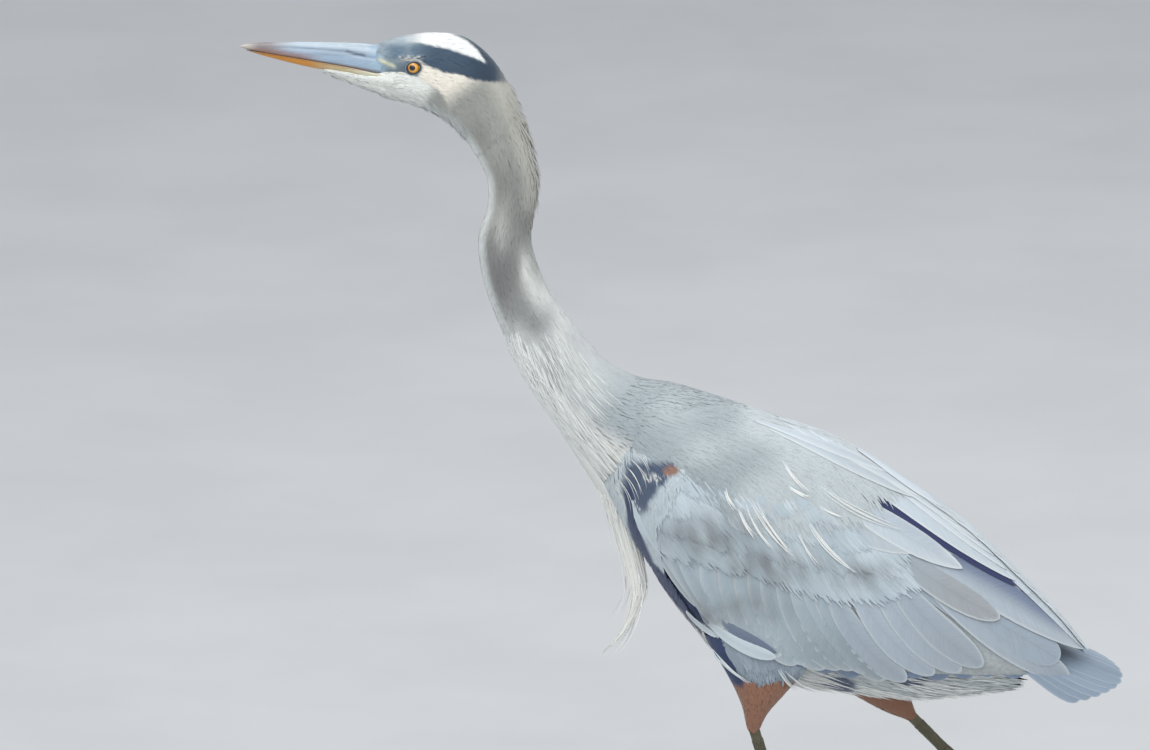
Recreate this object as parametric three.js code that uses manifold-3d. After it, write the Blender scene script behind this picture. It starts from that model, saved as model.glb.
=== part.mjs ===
// A great blue heron wading with its neck raised and its body tipped forward, life size.
// Millimetres, +Z up. The bird faces -X, its left side is -Y, and its toes rest on Z = 0.
// Feathered parts are solids of the plumage's outer shape. Outlines are given in side view as [x, z].
import * as THREE from 'three';
import Module from 'manifold-3d';
import { mergeVertices } from 'three/addons/utils/BufferGeometryUtils.js';

const wasm = await Module();
wasm.setup();

const GAP = 0.3; // clearance between neighbouring solids
const BODY_SIDES = 18; // facets round the trunk and neck
const LEFT = -1; // the bird's left is towards -Y
const RIGHT = 1;
const BEYOND = { x: 500, y: 200, z: 1000 }; // past the bird on every side, for boxes that cut it

// ---------- materials ----------

const material = (color, roughness) => new THREE.MeshStandardMaterial({ color, roughness, metalness: 0 });
const GREY_PLUMAGE = material(0x9aa4b0, 0.9);
const NECK_PLUMAGE = material(0xa9a7a6, 0.9);
const HEAD_PLUMAGE = material(0xd9dbd8, 0.9);
const FLIGHT_FEATHER = material(0x8792a2, 0.8);
const PALE_PLUME = material(0xd8d6c8, 0.85);
const RUFOUS_PLUMAGE = material(0xa4654a, 0.9);
const BILL_UPPER = material(0x6c7480, 0.45);
const BILL_LOWER = material(0xc98b3a, 0.45);
const LEG_SKIN = material(0x6f6a52, 0.6);
const CLAW_HORN = material(0x3a3630, 0.4);
const EYE = material(0xe0a326, 0.1);

// ---------- measurements ----------

const EYE_RADIUS = 8;
const EYE_CENTRE = { x: -385.5, y: 13.6, z: 923.5 };

// The head, neck and trunk as one tapering form. Each row joins a point of the back's outline to one of the
// throat and belly's, with the half width there. lift moves the widest level up from the middle.
const BODY = [
  { part: 'bill base', top: [-424, 942], bottom: [-426, 895], half: 12.5, lift: 0.1 },
  { part: 'lores', top: [-408, 948.5], bottom: [-415, 889], half: 15, lift: 0.15 },
  { part: 'eye', top: [-388, 953], bottom: [-396, 884], half: 19.3, lift: 0.2 },
  { part: 'crown', top: [-362, 955], bottom: [-374, 876], half: 22, lift: 0.12 },
  { part: 'rear crown', top: [-334, 950], bottom: [-356, 866], half: 22, lift: 0.05 },
  { part: 'nape', top: [-308, 929], bottom: [-344, 856], half: 21, lift: 0 },
  { part: 'neck top', top: [-289, 899], bottom: [-333, 843], half: 20, lift: 0 },
  { part: 'upper neck', top: [-277, 868], bottom: [-325, 830], half: 19.5, lift: 0 },
  { part: 'upper bow', top: [-267, 835], bottom: [-318, 817], half: 19.5, lift: 0 },
  { part: 'rear bulge', top: [-262, 804], bottom: [-312.5, 801], half: 19.5, lift: 0 },
  { part: 'kink', top: [-265, 772], bottom: [-313, 775], half: 20, lift: 0 },
  { part: 'front bulge', top: [-268, 742], bottom: [-322, 745], half: 21, lift: 0 },
  { part: 'lower bow', top: [-260, 712], bottom: [-318, 704], half: 22, lift: 0 },
  { part: 'lower neck', top: [-243, 678], bottom: [-304, 661], half: 24, lift: 0 },
  { part: 'neck flare', top: [-219, 647], bottom: [-286, 621], half: 27, lift: 0 },
  { part: 'neck root', top: [-192, 616], bottom: [-262, 577], half: 33, lift: 0 },
  { part: 'shoulder front', top: [-160, 599], bottom: [-232, 530], half: 43, lift: 0.02 },
  { part: 'shoulders', top: [-122, 592], bottom: [-197, 486], half: 54, lift: 0.08 },
  { part: 'breast', top: [-78, 578], bottom: [-166, 436], half: 61, lift: 0.1 },
  { part: 'mid trunk', top: [-20, 557], bottom: [-133, 376], half: 66, lift: 0.1 },
  { part: 'belly', top: [45, 531], bottom: [-86, 321], half: 65, lift: 0.08 },
  { part: 'flank', top: [110, 486], bottom: [-22, 287], half: 57, lift: 0.05 },
  { part: 'rump', top: [165, 440], bottom: [58, 272], half: 44, lift: 0 },
  { part: 'vent', top: [205, 392], bottom: [128, 267], half: 30, lift: 0 },
  { part: 'tail coverts', top: [232, 352], bottom: [190, 273], half: 17, lift: 0 },
];

// The outer skin of both folded wings, drawn the same way, from the shoulder to the wing tip.
const WING_COVER = [
  { part: 'wrist', top: [-132, 588], bottom: [-192, 474], half: 62, lift: 0.1 },
  { part: 'shoulder', top: [-78, 577], bottom: [-168, 430], half: 75, lift: 0.12 },
  { part: 'forearm', top: [-20, 557], bottom: [-130, 373], half: 81, lift: 0.12 },
  { part: 'elbow', top: [45, 533], bottom: [-84, 318], half: 82, lift: 0.1 },
  { part: 'secondaries', top: [110, 491], bottom: [-20, 285], half: 76, lift: 0.05 },
  { part: 'tertials', top: [170, 446], bottom: [60, 271], half: 65, lift: 0 },
  { part: 'folded hand', top: [222, 395], bottom: [148, 267], half: 50, lift: 0 },
  { part: 'primaries', top: [262, 353], bottom: [222, 268], half: 35, lift: 0 },
  { part: 'wing tip', top: [292, 314], bottom: [284, 272], half: 17, lift: 0 },
];

const BILL_UPPER_ROWS = [
  { part: 'base', top: [-425.4, 942.5], bottom: [-425.4, 916.6], half: 11.8, lift: -0.75 },
  { part: 'nostril', top: [-447, 944.3], bottom: [-447, 921.3], half: 9.6, lift: -0.75 },
  { part: 'middle', top: [-490, 945.2], bottom: [-490, 928.4], half: 6.6, lift: -0.75 },
  { part: 'front', top: [-530, 945], bottom: [-530, 934.6], half: 3.9, lift: -0.75 },
  { part: 'point', top: [-551, 943.4], bottom: [-551, 938.2], half: 2, lift: -0.6 },
  { part: 'tip', top: [-559, 941.6], bottom: [-559, 940.6], half: 0.5, lift: 0 },
];

const BILL_LOWER_ROWS = [
  { part: 'base', top: [-425.4, 916.2], bottom: [-425.4, 907.6], half: 12, lift: 0.75 },
  { part: 'ramus', top: [-447, 920.9], bottom: [-447, 911.5], half: 9.8, lift: 0.75 },
  { part: 'gonys', top: [-490, 928], bottom: [-490, 919.6], half: 6.7, lift: 0.75 },
  { part: 'front', top: [-530, 934.2], bottom: [-530, 929.8], half: 3.8, lift: 0.75 },
  { part: 'tip', top: [-552, 937.6], bottom: [-552, 936.6], half: 0.8, lift: 0 },
];

// The feathered chin that reaches forward under the lower bill.
const CHIN_ROWS = [
  { part: 'point', top: [-477, 917.4], bottom: [-477, 916], half: 1.5, lift: 0 },
  { part: 'middle', top: [-456, 912.9], bottom: [-456, 905.6], half: 7, lift: 0.3 },
  { part: 'throat', top: [-434, 909], bottom: [-434, 897.4], half: 11, lift: 0.3 },
  { part: 'root', top: [-414, 908], bottom: [-414, 890], half: 13, lift: 0.2 },
];

// The long plumes of the lower neck, which hang clear of the breast and curl forward at their tips.
const PLUME_ROWS = [
  { part: 'root', top: [-160, 560], bottom: [-238, 545], half: 31, lift: 0 },
  { part: 'fan', top: [-150, 500], bottom: [-212, 492], half: 29, lift: 0 },
  { part: 'gathering', top: [-142, 448], bottom: [-190, 446], half: 19, lift: 0 },
  { part: 'lock', top: [-151, 402], bottom: [-174, 400], half: 10, lift: 0 },
  { part: 'thin', top: [-158, 369], bottom: [-172, 371], half: 5.5, lift: 0 },
  { part: 'bend', top: [-171, 338], bottom: [-178, 342], half: 3, lift: 0 },
  { part: 'curl', top: [-194, 315.6], bottom: [-195.4, 318], half: 0.9, lift: 0 },
];

const LEGS = [
  {
    side: 'left', y: LEFT * 43,
    thigh: [
      { part: 'hip', top: [25, 345], bottom: [-98, 346], half: 24, lift: 0 },
      { part: 'knee', top: [6, 308], bottom: [-80, 316], half: 21, lift: 0 },
      { part: 'calf', top: [-15, 282], bottom: [-67, 292], half: 17, lift: 0 },
      { part: 'cuff', top: [-31, 263], bottom: [-58, 270], half: 12, lift: 0 },
      { part: 'hem', top: [-39, 247], bottom: [-54, 252], half: 7.5, lift: 0 },
    ],
    hem: [-46.5, 249.2], hock: [-21, 166], foot: [-110, 8],
  },
  {
    side: 'right', y: RIGHT * 43,
    thigh: [
      { part: 'hip', top: [95, 330], bottom: [-28, 330], half: 24, lift: 0 },
      { part: 'knee', top: [98, 296], bottom: [8, 288], half: 21, lift: 0 },
      { part: 'calf', top: [104, 272], bottom: [48, 262], half: 17, lift: 0 },
      { part: 'cuff', top: [111, 259], bottom: [82, 242], half: 12, lift: 0 },
      { part: 'hem', top: [117, 243], bottom: [106, 232], half: 7.5, lift: 0 },
    ],
    hem: [111.8, 237.2], hock: [167, 180], foot: [134, 8],
  },
];

const SHANK_RADIUS = 6.2;
const HOCK_RADIUS = 9.2;
const TARSUS_RADIUS = 5.4;
const FOOT_PAD_RADIUS = 8.5;

// Toes in plan: yaw from straight ahead, towards the bird's midline, with the length without the claw.
const TOES = [
  { toe: 'inner', yaw: 26, length: 74, radius: 4.2 },
  { toe: 'middle', yaw: 0, length: 92, radius: 4.5 },
  { toe: 'outer', yaw: -27, length: 80, radius: 4.2 },
  { toe: 'hind', yaw: 172, length: 50, radius: 4 },
];
const CLAW_LENGTH = 12;

// roll is the rise of the fan towards the bird's right, for each millimetre across.
const TAIL = {
  root: [150, 340], tip: [322, 293], halfRoot: 15, halfTip: 37, thickness: 4.4, droop: 15, roll: 0.4,
  feathers: 7, lobe: 3.2, // how far each feather's tip stands out
  rounding: 22, // how much shorter the fan is at its sides
};

// Where the body is divided, as places along BODY: whole numbers are its rows.
const CUTS = {
  head: [0, 6], neck_upper: [6, 10.5], neck_middle: [10.5, 13.5], neck_lower: [13.5, 16], trunk: [16, 24],
};

// ---------- shaping ----------

// Turns a mesh the right way out, whichever way its maker wound it.
function outward(geometry) {
  const p = geometry.attributes.position;
  const index = geometry.index.array;
  const [a, b, c] = [new THREE.Vector3(), new THREE.Vector3(), new THREE.Vector3()];
  let volume = 0;
  for (let i = 0; i < index.length; i += 3) {
    a.fromBufferAttribute(p, index[i]);
    b.fromBufferAttribute(p, index[i + 1]);
    c.fromBufferAttribute(p, index[i + 2]);
    volume += a.dot(b.cross(c));
  }
  if (volume < 0) {
    for (let i = 0; i < index.length; i += 3) [index[i], index[i + 1]] = [index[i + 1], index[i]];
  }
  return geometry;
}

function bare(geometry) {
  geometry.deleteAttribute('normal');
  geometry.deleteAttribute('uv');
  return mergeVertices(geometry);
}

// A capped tube whose every vertex is put by place(along, angle, reach): along and reach run from 0 to 1.
function tube(sides, rings, place) {
  const geometry = bare(new THREE.CylinderGeometry(1, 1, 1, sides, rings));
  const p = geometry.attributes.position;
  for (let i = 0; i < p.count; i++) {
    const reach = Math.min(1, Math.hypot(p.getX(i), p.getZ(i)));
    const at = place(0.5 - p.getY(i), Math.atan2(p.getX(i), p.getZ(i)), reach);
    p.setXYZ(i, at.x, at.y, at.z);
  }
  return outward(geometry);
}

const LIFT_SCALE = 100; // brings the lifts to the size of lengths, so that one curve suits both

// Smooth outlines through the rows: at(place) gives the section at a place counted in rows.
function sections(rows) {
  const curve = (of) => new THREE.CatmullRomCurve3(rows.map((row) => new THREE.Vector3(...of(row))));
  const top = curve((row) => [row.top[0], 0, row.top[1]]);
  const bottom = curve((row) => [row.bottom[0], 0, row.bottom[1]]);
  const size = curve((row) => [row.half, row.lift * LIFT_SCALE, 0]);
  return (place) => {
    const t = THREE.MathUtils.clamp(place / (rows.length - 1), 0, 1);
    const high = top.getPoint(t);
    const low = bottom.getPoint(t);
    const sized = size.getPoint(t);
    return {
      centre: high.clone().add(low).multiplyScalar(0.5),
      up: high.sub(low).multiplyScalar(0.5),
      half: sized.x,
      lift: sized.y / LIFT_SCALE,
    };
  };
}

// A closed solid through the rows from one place to another. grow moves its wall out by that much.
function loft(rows, { from = 0, to = rows.length - 1, sides = 20, rings = 12, y = 0, grow = 0 }) {
  const section = sections(rows);
  return tube(sides, rings, (along, angle, reach) => {
    const { centre, up, half, lift } = section(from + (to - from) * along);
    const depth = up.length();
    const level = THREE.MathUtils.clamp(Math.cos(angle) + lift * Math.sin(angle) ** 2, -1, 1);
    const at = centre.addScaledVector(up, ((depth + grow) / depth) * level * reach);
    at.y = y + (half + grow) * Math.sin(angle) * reach;
    return at;
  });
}

// A round limb along straight stretches in a vertical plane, with a radius at each of its points.
function limb(points, radii, { sides = 8, rings = 4, y = 0 } = {}) {
  const path = new THREE.CatmullRomCurve3(points.map(([x, z]) => new THREE.Vector3(x, 0, z)));
  const sizes = new THREE.CatmullRomCurve3(radii.map((r, i) => new THREE.Vector3(i, r, 0)));
  return tube(sides, rings, (along, angle, reach) => {
    const tangent = path.getTangent(along);
    const across = new THREE.Vector3(-tangent.z, 0, tangent.x);
    const radius = sizes.getPoint(along).y * reach;
    const at = path.getPoint(along).addScaledVector(across, radius * Math.cos(angle));
    at.y = y + radius * Math.sin(angle);
    return at;
  });
}

// A slab seen in side view as the outline, standing across the whole bird.
const SLAB_DEPTH = 400;
function slab(outline) {
  const shape = new THREE.Shape(outline.map(([x, z]) => new THREE.Vector2(x, z)));
  const geometry = bare(new THREE.ExtrudeGeometry(shape, { depth: SLAB_DEPTH, bevelEnabled: false }));
  geometry.translate(0, 0, -SLAB_DEPTH / 2).rotateX(Math.PI / 2);
  return outward(geometry);
}

// A row of rounded feather tips between two points. bulge is how far each tip stands out, to the line's right.
function scallops(start, end, count, bulge, steps = 3) {
  const points = [];
  const [dx, dz] = [(end[0] - start[0]) / count, (end[1] - start[1]) / count];
  const length = Math.hypot(dx, dz);
  for (let feather = 0; feather < count; feather++) {
    for (let step = 0; step < steps; step++) {
      const u = step / steps;
      const out = bulge * Math.sqrt(Math.sin(Math.PI * u) * (0.6 + 0.4 * u));
      points.push([
        start[0] + dx * (feather + u) + (dz / length) * out,
        start[1] + dz * (feather + u) - (dx / length) * out,
      ]);
    }
  }
  return points;
}

function box(lowest, highest) {
  const size = highest.clone().sub(lowest);
  const geometry = bare(new THREE.BoxGeometry(size.x, size.y, size.z));
  return geometry.translate(...highest.clone().add(lowest).multiplyScalar(0.5).toArray());
}

function ball(x, y, z, radius, sides = 12) {
  const sphere = bare(new THREE.SphereGeometry(radius, sides, Math.round(sides * 0.6)));
  return sphere.rotateX(Math.PI / 2).translate(x, y, z);
}

// ---------- joining and cutting ----------

function solid(geometry) {
  const vertProperties = new Float32Array(geometry.attributes.position.array);
  const triVerts = new Uint32Array(geometry.index.array);
  return new wasm.Manifold(new wasm.Mesh({ numProp: 3, vertProperties, triVerts }));
}

// The largest body of a solid as a geometry: cuts can leave crumbs behind.
function geometryOf(cut) {
  const bodies = cut.decompose().sort((a, b) => b.volume() - a.volume());
  const mesh = bodies[0].getMesh();
  const geometry = new THREE.BufferGeometry();
  geometry.setAttribute('position', new THREE.BufferAttribute(new Float32Array(mesh.vertProperties), 3));
  geometry.setIndex(new THREE.BufferAttribute(new Uint32Array(mesh.triVerts), 1));
  return geometry;
}

const joined = (...parts) => parts.reduce((sum, part) => sum.add(part));
const without = (whole, ...cutters) => cutters.reduce((rest, cutter) => rest.subtract(cutter), whole);

const heron = new THREE.Group();
heron.name = 'great_blue_heron';

function addNode(name, geometry, finish) {
  const mesh = new THREE.Mesh(geometry, finish);
  mesh.name = name;
  heron.add(mesh);
  return mesh;
}

// ---------- head ----------

const ROW_SPACING = 30; // the rows of BODY lie about this far apart
const HALF_GAP_IN_ROWS = GAP / 2 / ROW_SPACING;
const RINGS = { head: 11, neck_upper: 8, neck_middle: 6, neck_lower: 5, trunk: 10 };

const bodyLoft = (name, grow = 0) => {
  const [from, to] = CUTS[name];
  const start = from === 0 ? 0 : from + HALF_GAP_IN_ROWS;
  return solid(loft(BODY, { from: start, to: to - HALF_GAP_IN_ROWS, sides: BODY_SIDES, rings: RINGS[name], grow }));
};

function makeHead() {
  const skull = joined(bodyLoft('head'), solid(loft(CHIN_ROWS, { sides: 10, rings: 4 })));
  const sockets = [LEFT, RIGHT].map((side) =>
    solid(ball(EYE_CENTRE.x, side * EYE_CENTRE.y, EYE_CENTRE.z, EYE_RADIUS + GAP)));
  const billRoom = solid(loft(BILL_LOWER_ROWS, { sides: 12, rings: 6, grow: GAP }));
  addNode('head', geometryOf(without(skull, ...sockets, billRoom)), HEAD_PLUMAGE);
}

function makeBill() {
  addNode('bill_upper', loft(BILL_UPPER_ROWS, { sides: 12, rings: 8 }), BILL_UPPER);
  addNode('bill_lower', loft(BILL_LOWER_ROWS, { sides: 12, rings: 6 }), BILL_LOWER);
}

function makeEyes() {
  for (const [name, side] of [['eye_left', LEFT], ['eye_right', RIGHT]]) {
    addNode(name, ball(EYE_CENTRE.x, side * EYE_CENTRE.y, EYE_CENTRE.z, EYE_RADIUS), EYE);
  }
}

// ---------- neck and trunk ----------

function makeNeck() {
  addNode('neck_upper', geometryOf(bodyLoft('neck_upper')), NECK_PLUMAGE);
  addNode('neck_middle', geometryOf(bodyLoft('neck_middle')), NECK_PLUMAGE);
  addNode('neck_lower', geometryOf(bodyLoft('neck_lower')), NECK_PLUMAGE);
}

// ---------- tail ----------

// A fan that droops at its sides, with its right side rolled up and its end cut into rounded feather tips.
function tailSolid(grow) {
  const { root, tip, halfRoot, halfTip, thickness, droop, roll, feathers, lobe, rounding } = TAIL;
  const along = new THREE.Vector3(tip[0] - root[0], 0, tip[1] - root[1]);
  const length = along.length();
  const up = new THREE.Vector3(-along.z, 0, along.x).normalize();
  const fan = solid(tube(14, 6, (t, angle, reach) => {
    const half = THREE.MathUtils.lerp(halfRoot, halfTip, Math.sqrt(t));
    const y = (half + grow) * Math.sin(angle) * reach;
    const share = y / half;
    const at = new THREE.Vector3(root[0], 0, root[1]).addScaledVector(along, t * (1 + grow / length));
    at.addScaledVector(up, (thickness / 2 + grow) * Math.cos(angle) * reach + (roll * y - droop * share * share) * t);
    at.y = y;
    return at;
  }));
  const width = 2 * (halfTip + grow);
  const reachAt = (u) => length + grow - rounding * Math.abs(2 * u - 1) ** 2.2;
  const plan = [new THREE.Vector2(-1, -width), new THREE.Vector2(-1, width)];
  const stepsEach = 4;
  const steps = feathers * stepsEach;
  for (let step = 0; step <= steps; step++) {
    const u = step / steps;
    const notch = lobe * Math.sqrt(Math.abs(Math.cos(Math.PI * u * feathers)));
    plan.push(new THREE.Vector2(reachAt(u) - notch, width / 2 - width * u));
  }
  const depth = 120; // more than the fan's droop and roll
  const plate = bare(new THREE.ExtrudeGeometry(new THREE.Shape(plan), { depth, bevelEnabled: false }));
  plate.translate(0, 0, -depth / 2).rotateY(-Math.atan2(along.z, along.x)).translate(root[0], 0, root[1]);
  return fan.intersect(solid(outward(plate)));
}

function makeTail() {
  addNode('tail', geometryOf(without(tailSolid(0), bodyLoft('trunk', GAP))), FLIGHT_FEATHER);
}

// ---------- wings ----------

// Side-view outlines of the folded wing's layers, outermost first. Each lies under the one before it.
const WING_LAYERS = [
  {
    name: 'coverts', inset: 0, finish: GREY_PLUMAGE,
    outline: [
      [-112, 562], [-138, 532], [-160, 500], [-171, 468], [-168, 432], [-150, 392],
      ...scallops([-124, 352], [20, 296], 6, 9), ...scallops([20, 296], [118, 330], 4, 9),
      [118, 330], [126, 368], [104, 412], [62, 458], [4, 502], [-52, 538],
    ],
  },
  {
    name: 'tertials', inset: 2.5, finish: FLIGHT_FEATHER,
    outline: [
      [60, 400], [128, 366], [170, 358], ...scallops([196, 340], [284, 310], 2, 10),
      [292, 322], [262, 366], [222, 412], [165, 466], [96, 520], [62, 505], [30, 505], [8, 480], [20, 440],
    ],
  },
  {
    name: 'secondaries', inset: 5, finish: FLIGHT_FEATHER,
    outline: [
      [-130, 372], [-112, 332], ...scallops([-96, 316], [110, 272], 7, 8), ...scallops([110, 272], [236, 286], 4, 7),
      [236, 286], [262, 330], [200, 400], [60, 430], [-60, 400],
    ],
  },
  {
    name: 'primaries', inset: 8, finish: FLIGHT_FEATHER,
    outline: [[120, 330], [150, 290], ...scallops([170, 279], [280, 268], 4, 5), [292, 276], [300, 312], [240, 350]],
  },
];

const wingCover = (grow) => solid(loft(WING_COVER, { sides: BODY_SIDES, rings: 10, grow }));

const wingLayer = ({ outline, inset }) => wingCover(-inset).intersect(solid(slab(outline)));

// The room that a layer takes from what lies under it: its outline grown all round by the clearance.
function layerRoom({ outline, inset }) {
  const directions = 8;
  const compass = Array.from({ length: directions }, (_, i) => (i / directions) * 2 * Math.PI);
  const moved = compass.map((a) =>
    solid(slab(outline.map(([x, z]) => [x + GAP * Math.cos(a), z + GAP * Math.sin(a)]))));
  return wingCover(GAP - inset).intersect(joined(...moved));
}

// Each wing is cut from its own half of the outer skin, with the deeper layers cut back by those over them.
function makeWings() {
  const inner = [bodyLoft('neck_lower', GAP), bodyLoft('trunk', GAP), tailSolid(GAP)];
  for (const [wing, side] of [['wing_left', LEFT], ['wing_right', RIGHT]]) {
    const [near, far] = side === LEFT ? [-GAP / 2, BEYOND.y] : [-BEYOND.y, GAP / 2];
    const otherSide = solid(box(
      new THREE.Vector3(-BEYOND.x, near, 0), new THREE.Vector3(BEYOND.x, far, BEYOND.z)));
    WING_LAYERS.forEach((layer, i) => {
      const outer = WING_LAYERS.slice(0, i).map(layerRoom);
      const feathers = without(wingLayer(layer), ...inner, ...outer, otherSide);
      addNode(`${wing}_${layer.name}`, geometryOf(feathers), layer.finish);
    });
  }
}

// ---------- plumes ----------

function makePlumes() {
  const lock = solid(loft(PLUME_ROWS, { sides: 10, rings: 12 }));
  const behind = [
    bodyLoft('neck_lower', GAP), bodyLoft('trunk', GAP),
    layerRoom(WING_LAYERS[0]),
  ];
  addNode('breast_plumes', geometryOf(without(lock, ...behind)), PALE_PLUME);
}

// ---------- legs ----------

const TOE_ROOT_HEIGHT = 6; // where the toes leave the foot's pad

function toeGeometry({ yaw, length, radius }, turn, [x, y]) {
  const flat = 0.72; // the toe's axis lies this many radii above the ground
  const level = radius * flat;
  const joints = [[0, TOE_ROOT_HEIGHT], [-0.35 * length, level], [-0.7 * length, level * 0.9], [-length, level * 0.8]];
  const radii = [radius * 1.15, radius, radius * 0.88, radius * 0.7];
  const geometry = limb(joints, radii, { sides: 6, rings: 3 });
  return geometry.rotateZ(THREE.MathUtils.degToRad(yaw * turn)).translate(x, y, 0);
}

function clawGeometry({ yaw, length, radius }, turn, [x, y]) {
  const start = length + 2 * GAP;
  const root = radius * 0.62;
  const points = [[-start, root * 0.95], [-start - CLAW_LENGTH * 0.5, root * 1.25], [-start - CLAW_LENGTH, 0.8]];
  const geometry = limb(points, [root, root * 0.7, 0.4], { sides: 6, rings: 3 });
  return geometry.rotateZ(THREE.MathUtils.degToRad(yaw * turn)).translate(x, y, 0);
}

const thighLoft = (rows, y, grow) => loft(rows, { sides: 12, rings: 6, y, grow });

const between = ([x0, z0], [x1, z1], share) => [x0 + (x1 - x0) * share, z0 + (z1 - z0) * share];

function makeLeg({ side, y, thigh, hem, hock, foot }) {
  const body = [
    bodyLoft('trunk', GAP),
    ...WING_LAYERS.map(layerRoom),
  ];
  const feathered = solid(thighLoft(thigh, y, 0));
  addNode(`thigh_${side}`, geometryOf(without(feathered, ...body)), RUFOUS_PLUMAGE);

  const reach = Math.hypot(hock[0] - hem[0], hock[1] - hem[1]);
  const shankTop = between(hem, hock, (GAP + 0.2) / reach);
  const shank = solid(limb([shankTop, between(hem, hock, 0.5), between(hem, hock, 0.86), hock],
    [SHANK_RADIUS, SHANK_RADIUS * 0.9, SHANK_RADIUS * 1.1, HOCK_RADIUS * 0.8], { y }));
  const knob = solid(ball(hock[0], y, hock[1], HOCK_RADIUS, 10));
  addNode(`shank_${side}`, geometryOf(without(joined(shank, knob), solid(thighLoft(thigh, y, GAP)))), LEG_SKIN);

  const pad = (grow) => solid(ball(foot[0], y, foot[1], FOOT_PAD_RADIUS + grow, 10));
  const tarsusPath = [hock, ...[0.15, 0.5, 0.9].map((share) => between(hock, foot, share)), foot];
  const tarsusRadii = [HOCK_RADIUS * 0.8, ...[1.15, 1, 1.1, 1.25].map((share) => TARSUS_RADIUS * share)];
  const tarsus = solid(limb(tarsusPath, tarsusRadii, { y, rings: 6 }));
  const knobRoom = solid(ball(hock[0], y, hock[1], HOCK_RADIUS + GAP, 10));
  addNode(`tarsus_${side}`, geometryOf(without(tarsus, knobRoom, pad(GAP))), LEG_SKIN);

  const turn = Math.sign(y);
  const underground = solid(box(
    new THREE.Vector3(-BEYOND.x, -BEYOND.y, -BEYOND.z), new THREE.Vector3(BEYOND.x, BEYOND.y, 0)));
  const toes = TOES.map((toe) => solid(toeGeometry(toe, turn, [foot[0], y])));
  addNode(`foot_${side}`, geometryOf(without(joined(pad(0), ...toes), underground)), LEG_SKIN);
  for (const toe of TOES) {
    const claw = without(solid(clawGeometry(toe, turn, [foot[0], y])), underground);
    addNode(`claw_${side}_${toe.toe}`, geometryOf(claw), CLAW_HORN);
  }
}

// ---------- assembly ----------

makeHead();
makeBill();
makeEyes();
makeNeck();
addNode('trunk', geometryOf(bodyLoft('trunk')), GREY_PLUMAGE);
makeTail();
makeWings();
makePlumes();
LEGS.forEach(makeLeg);

// The origin is on the floor, under the middle of the whole bird.
const bounds = new THREE.Box3().setFromObject(heron);
const middle = bounds.getCenter(new THREE.Vector3());
heron.position.set(-middle.x, -middle.y, -bounds.min.z);

export default heron;
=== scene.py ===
"""A great blue heron, life size: one skin under a coat of separate feathers, with bill, eyes and scaled legs.

Measures are in millimetres in the bird's own side view: x runs from the bill (-) to the tail (+), y across
(- is its left side), z up from the toes. place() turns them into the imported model's frame, in metres.
"Sighted" points are (x, q), where q is the height seen from SIGHT degrees above the horizon, y = 0 unmoved.
"""

import math

import bmesh
import bpy
import numpy as np
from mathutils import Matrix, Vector
from mathutils.bvhtree import BVHTree


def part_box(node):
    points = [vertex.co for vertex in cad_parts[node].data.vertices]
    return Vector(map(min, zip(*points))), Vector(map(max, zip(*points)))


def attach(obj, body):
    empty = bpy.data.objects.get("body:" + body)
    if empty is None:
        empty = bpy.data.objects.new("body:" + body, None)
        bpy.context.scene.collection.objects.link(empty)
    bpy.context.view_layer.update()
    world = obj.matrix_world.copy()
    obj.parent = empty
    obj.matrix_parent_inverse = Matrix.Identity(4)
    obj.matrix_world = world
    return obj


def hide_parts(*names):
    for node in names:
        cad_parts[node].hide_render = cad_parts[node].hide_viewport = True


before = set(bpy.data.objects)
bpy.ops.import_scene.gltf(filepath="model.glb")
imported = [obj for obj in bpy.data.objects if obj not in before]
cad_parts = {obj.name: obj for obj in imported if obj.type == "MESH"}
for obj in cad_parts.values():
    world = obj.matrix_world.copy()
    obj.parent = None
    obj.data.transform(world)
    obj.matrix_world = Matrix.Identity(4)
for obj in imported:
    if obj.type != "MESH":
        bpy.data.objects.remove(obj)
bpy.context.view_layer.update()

SIGHT = math.radians(15)
SLOPE = math.tan(SIGHT)
EYE = np.array([-385.5, 13.6, 923.5])
EYE_RADIUS = 8.0
SIDES = {"left": -1, "right": 1}
rng = np.random.default_rng(11)


def frame_shift():
    """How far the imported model's origin lies from the bird's own, along x."""
    low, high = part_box("eye_left")
    return (low.x + high.x) / 2 * 1000 - EYE[0]


SHIFT = frame_shift()


def place(points):
    """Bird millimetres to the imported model's metres."""
    moved = np.array(points, float)
    moved[..., 0] += SHIFT
    return moved / 1000


# ---------- numbers ----------


def smooth(low, high, value):
    """0 below low, 1 above high, and a soft step between (low may be above high)."""
    u = np.clip((value - low) / (high - low), 0, 1)
    return u * u * (3 - 2 * u)


def blob(x, z, centre, radii):
    """1 at the centre of an oval spot, falling softly to 0."""
    return np.exp(-(((x - centre[0]) / radii[0]) ** 2) - ((z - centre[1]) / radii[1]) ** 2)


def along(points, x):
    """The height of a line of (x, height) points at x."""
    line = np.array(points, float)
    return np.interp(x, line[:, 0], line[:, 1])


def spline(points, t):
    """A smooth curve through the points, at places t counted in points."""
    p = np.asarray(points, float)
    t = np.clip(np.asarray(t, float), 0, len(p) - 1)
    p = np.concatenate([[2 * p[0] - p[1]], p, [2 * p[-1] - p[-2]]])
    i = np.minimum(t.astype(int), len(p) - 4)
    f = (t - i).reshape(t.shape + (1,) * (p.ndim - 1))
    a, b, c, d = p[i], p[i + 1], p[i + 2], p[i + 3]
    return 0.5 * (2 * b + (c - a) * f + (2 * a - 5 * b + 4 * c - d) * f**2 + (3 * b - a - 3 * c + d) * f**3)


def unit(v):
    return v / np.maximum(np.linalg.norm(v, axis=-1, keepdims=True), 1e-9)


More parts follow.
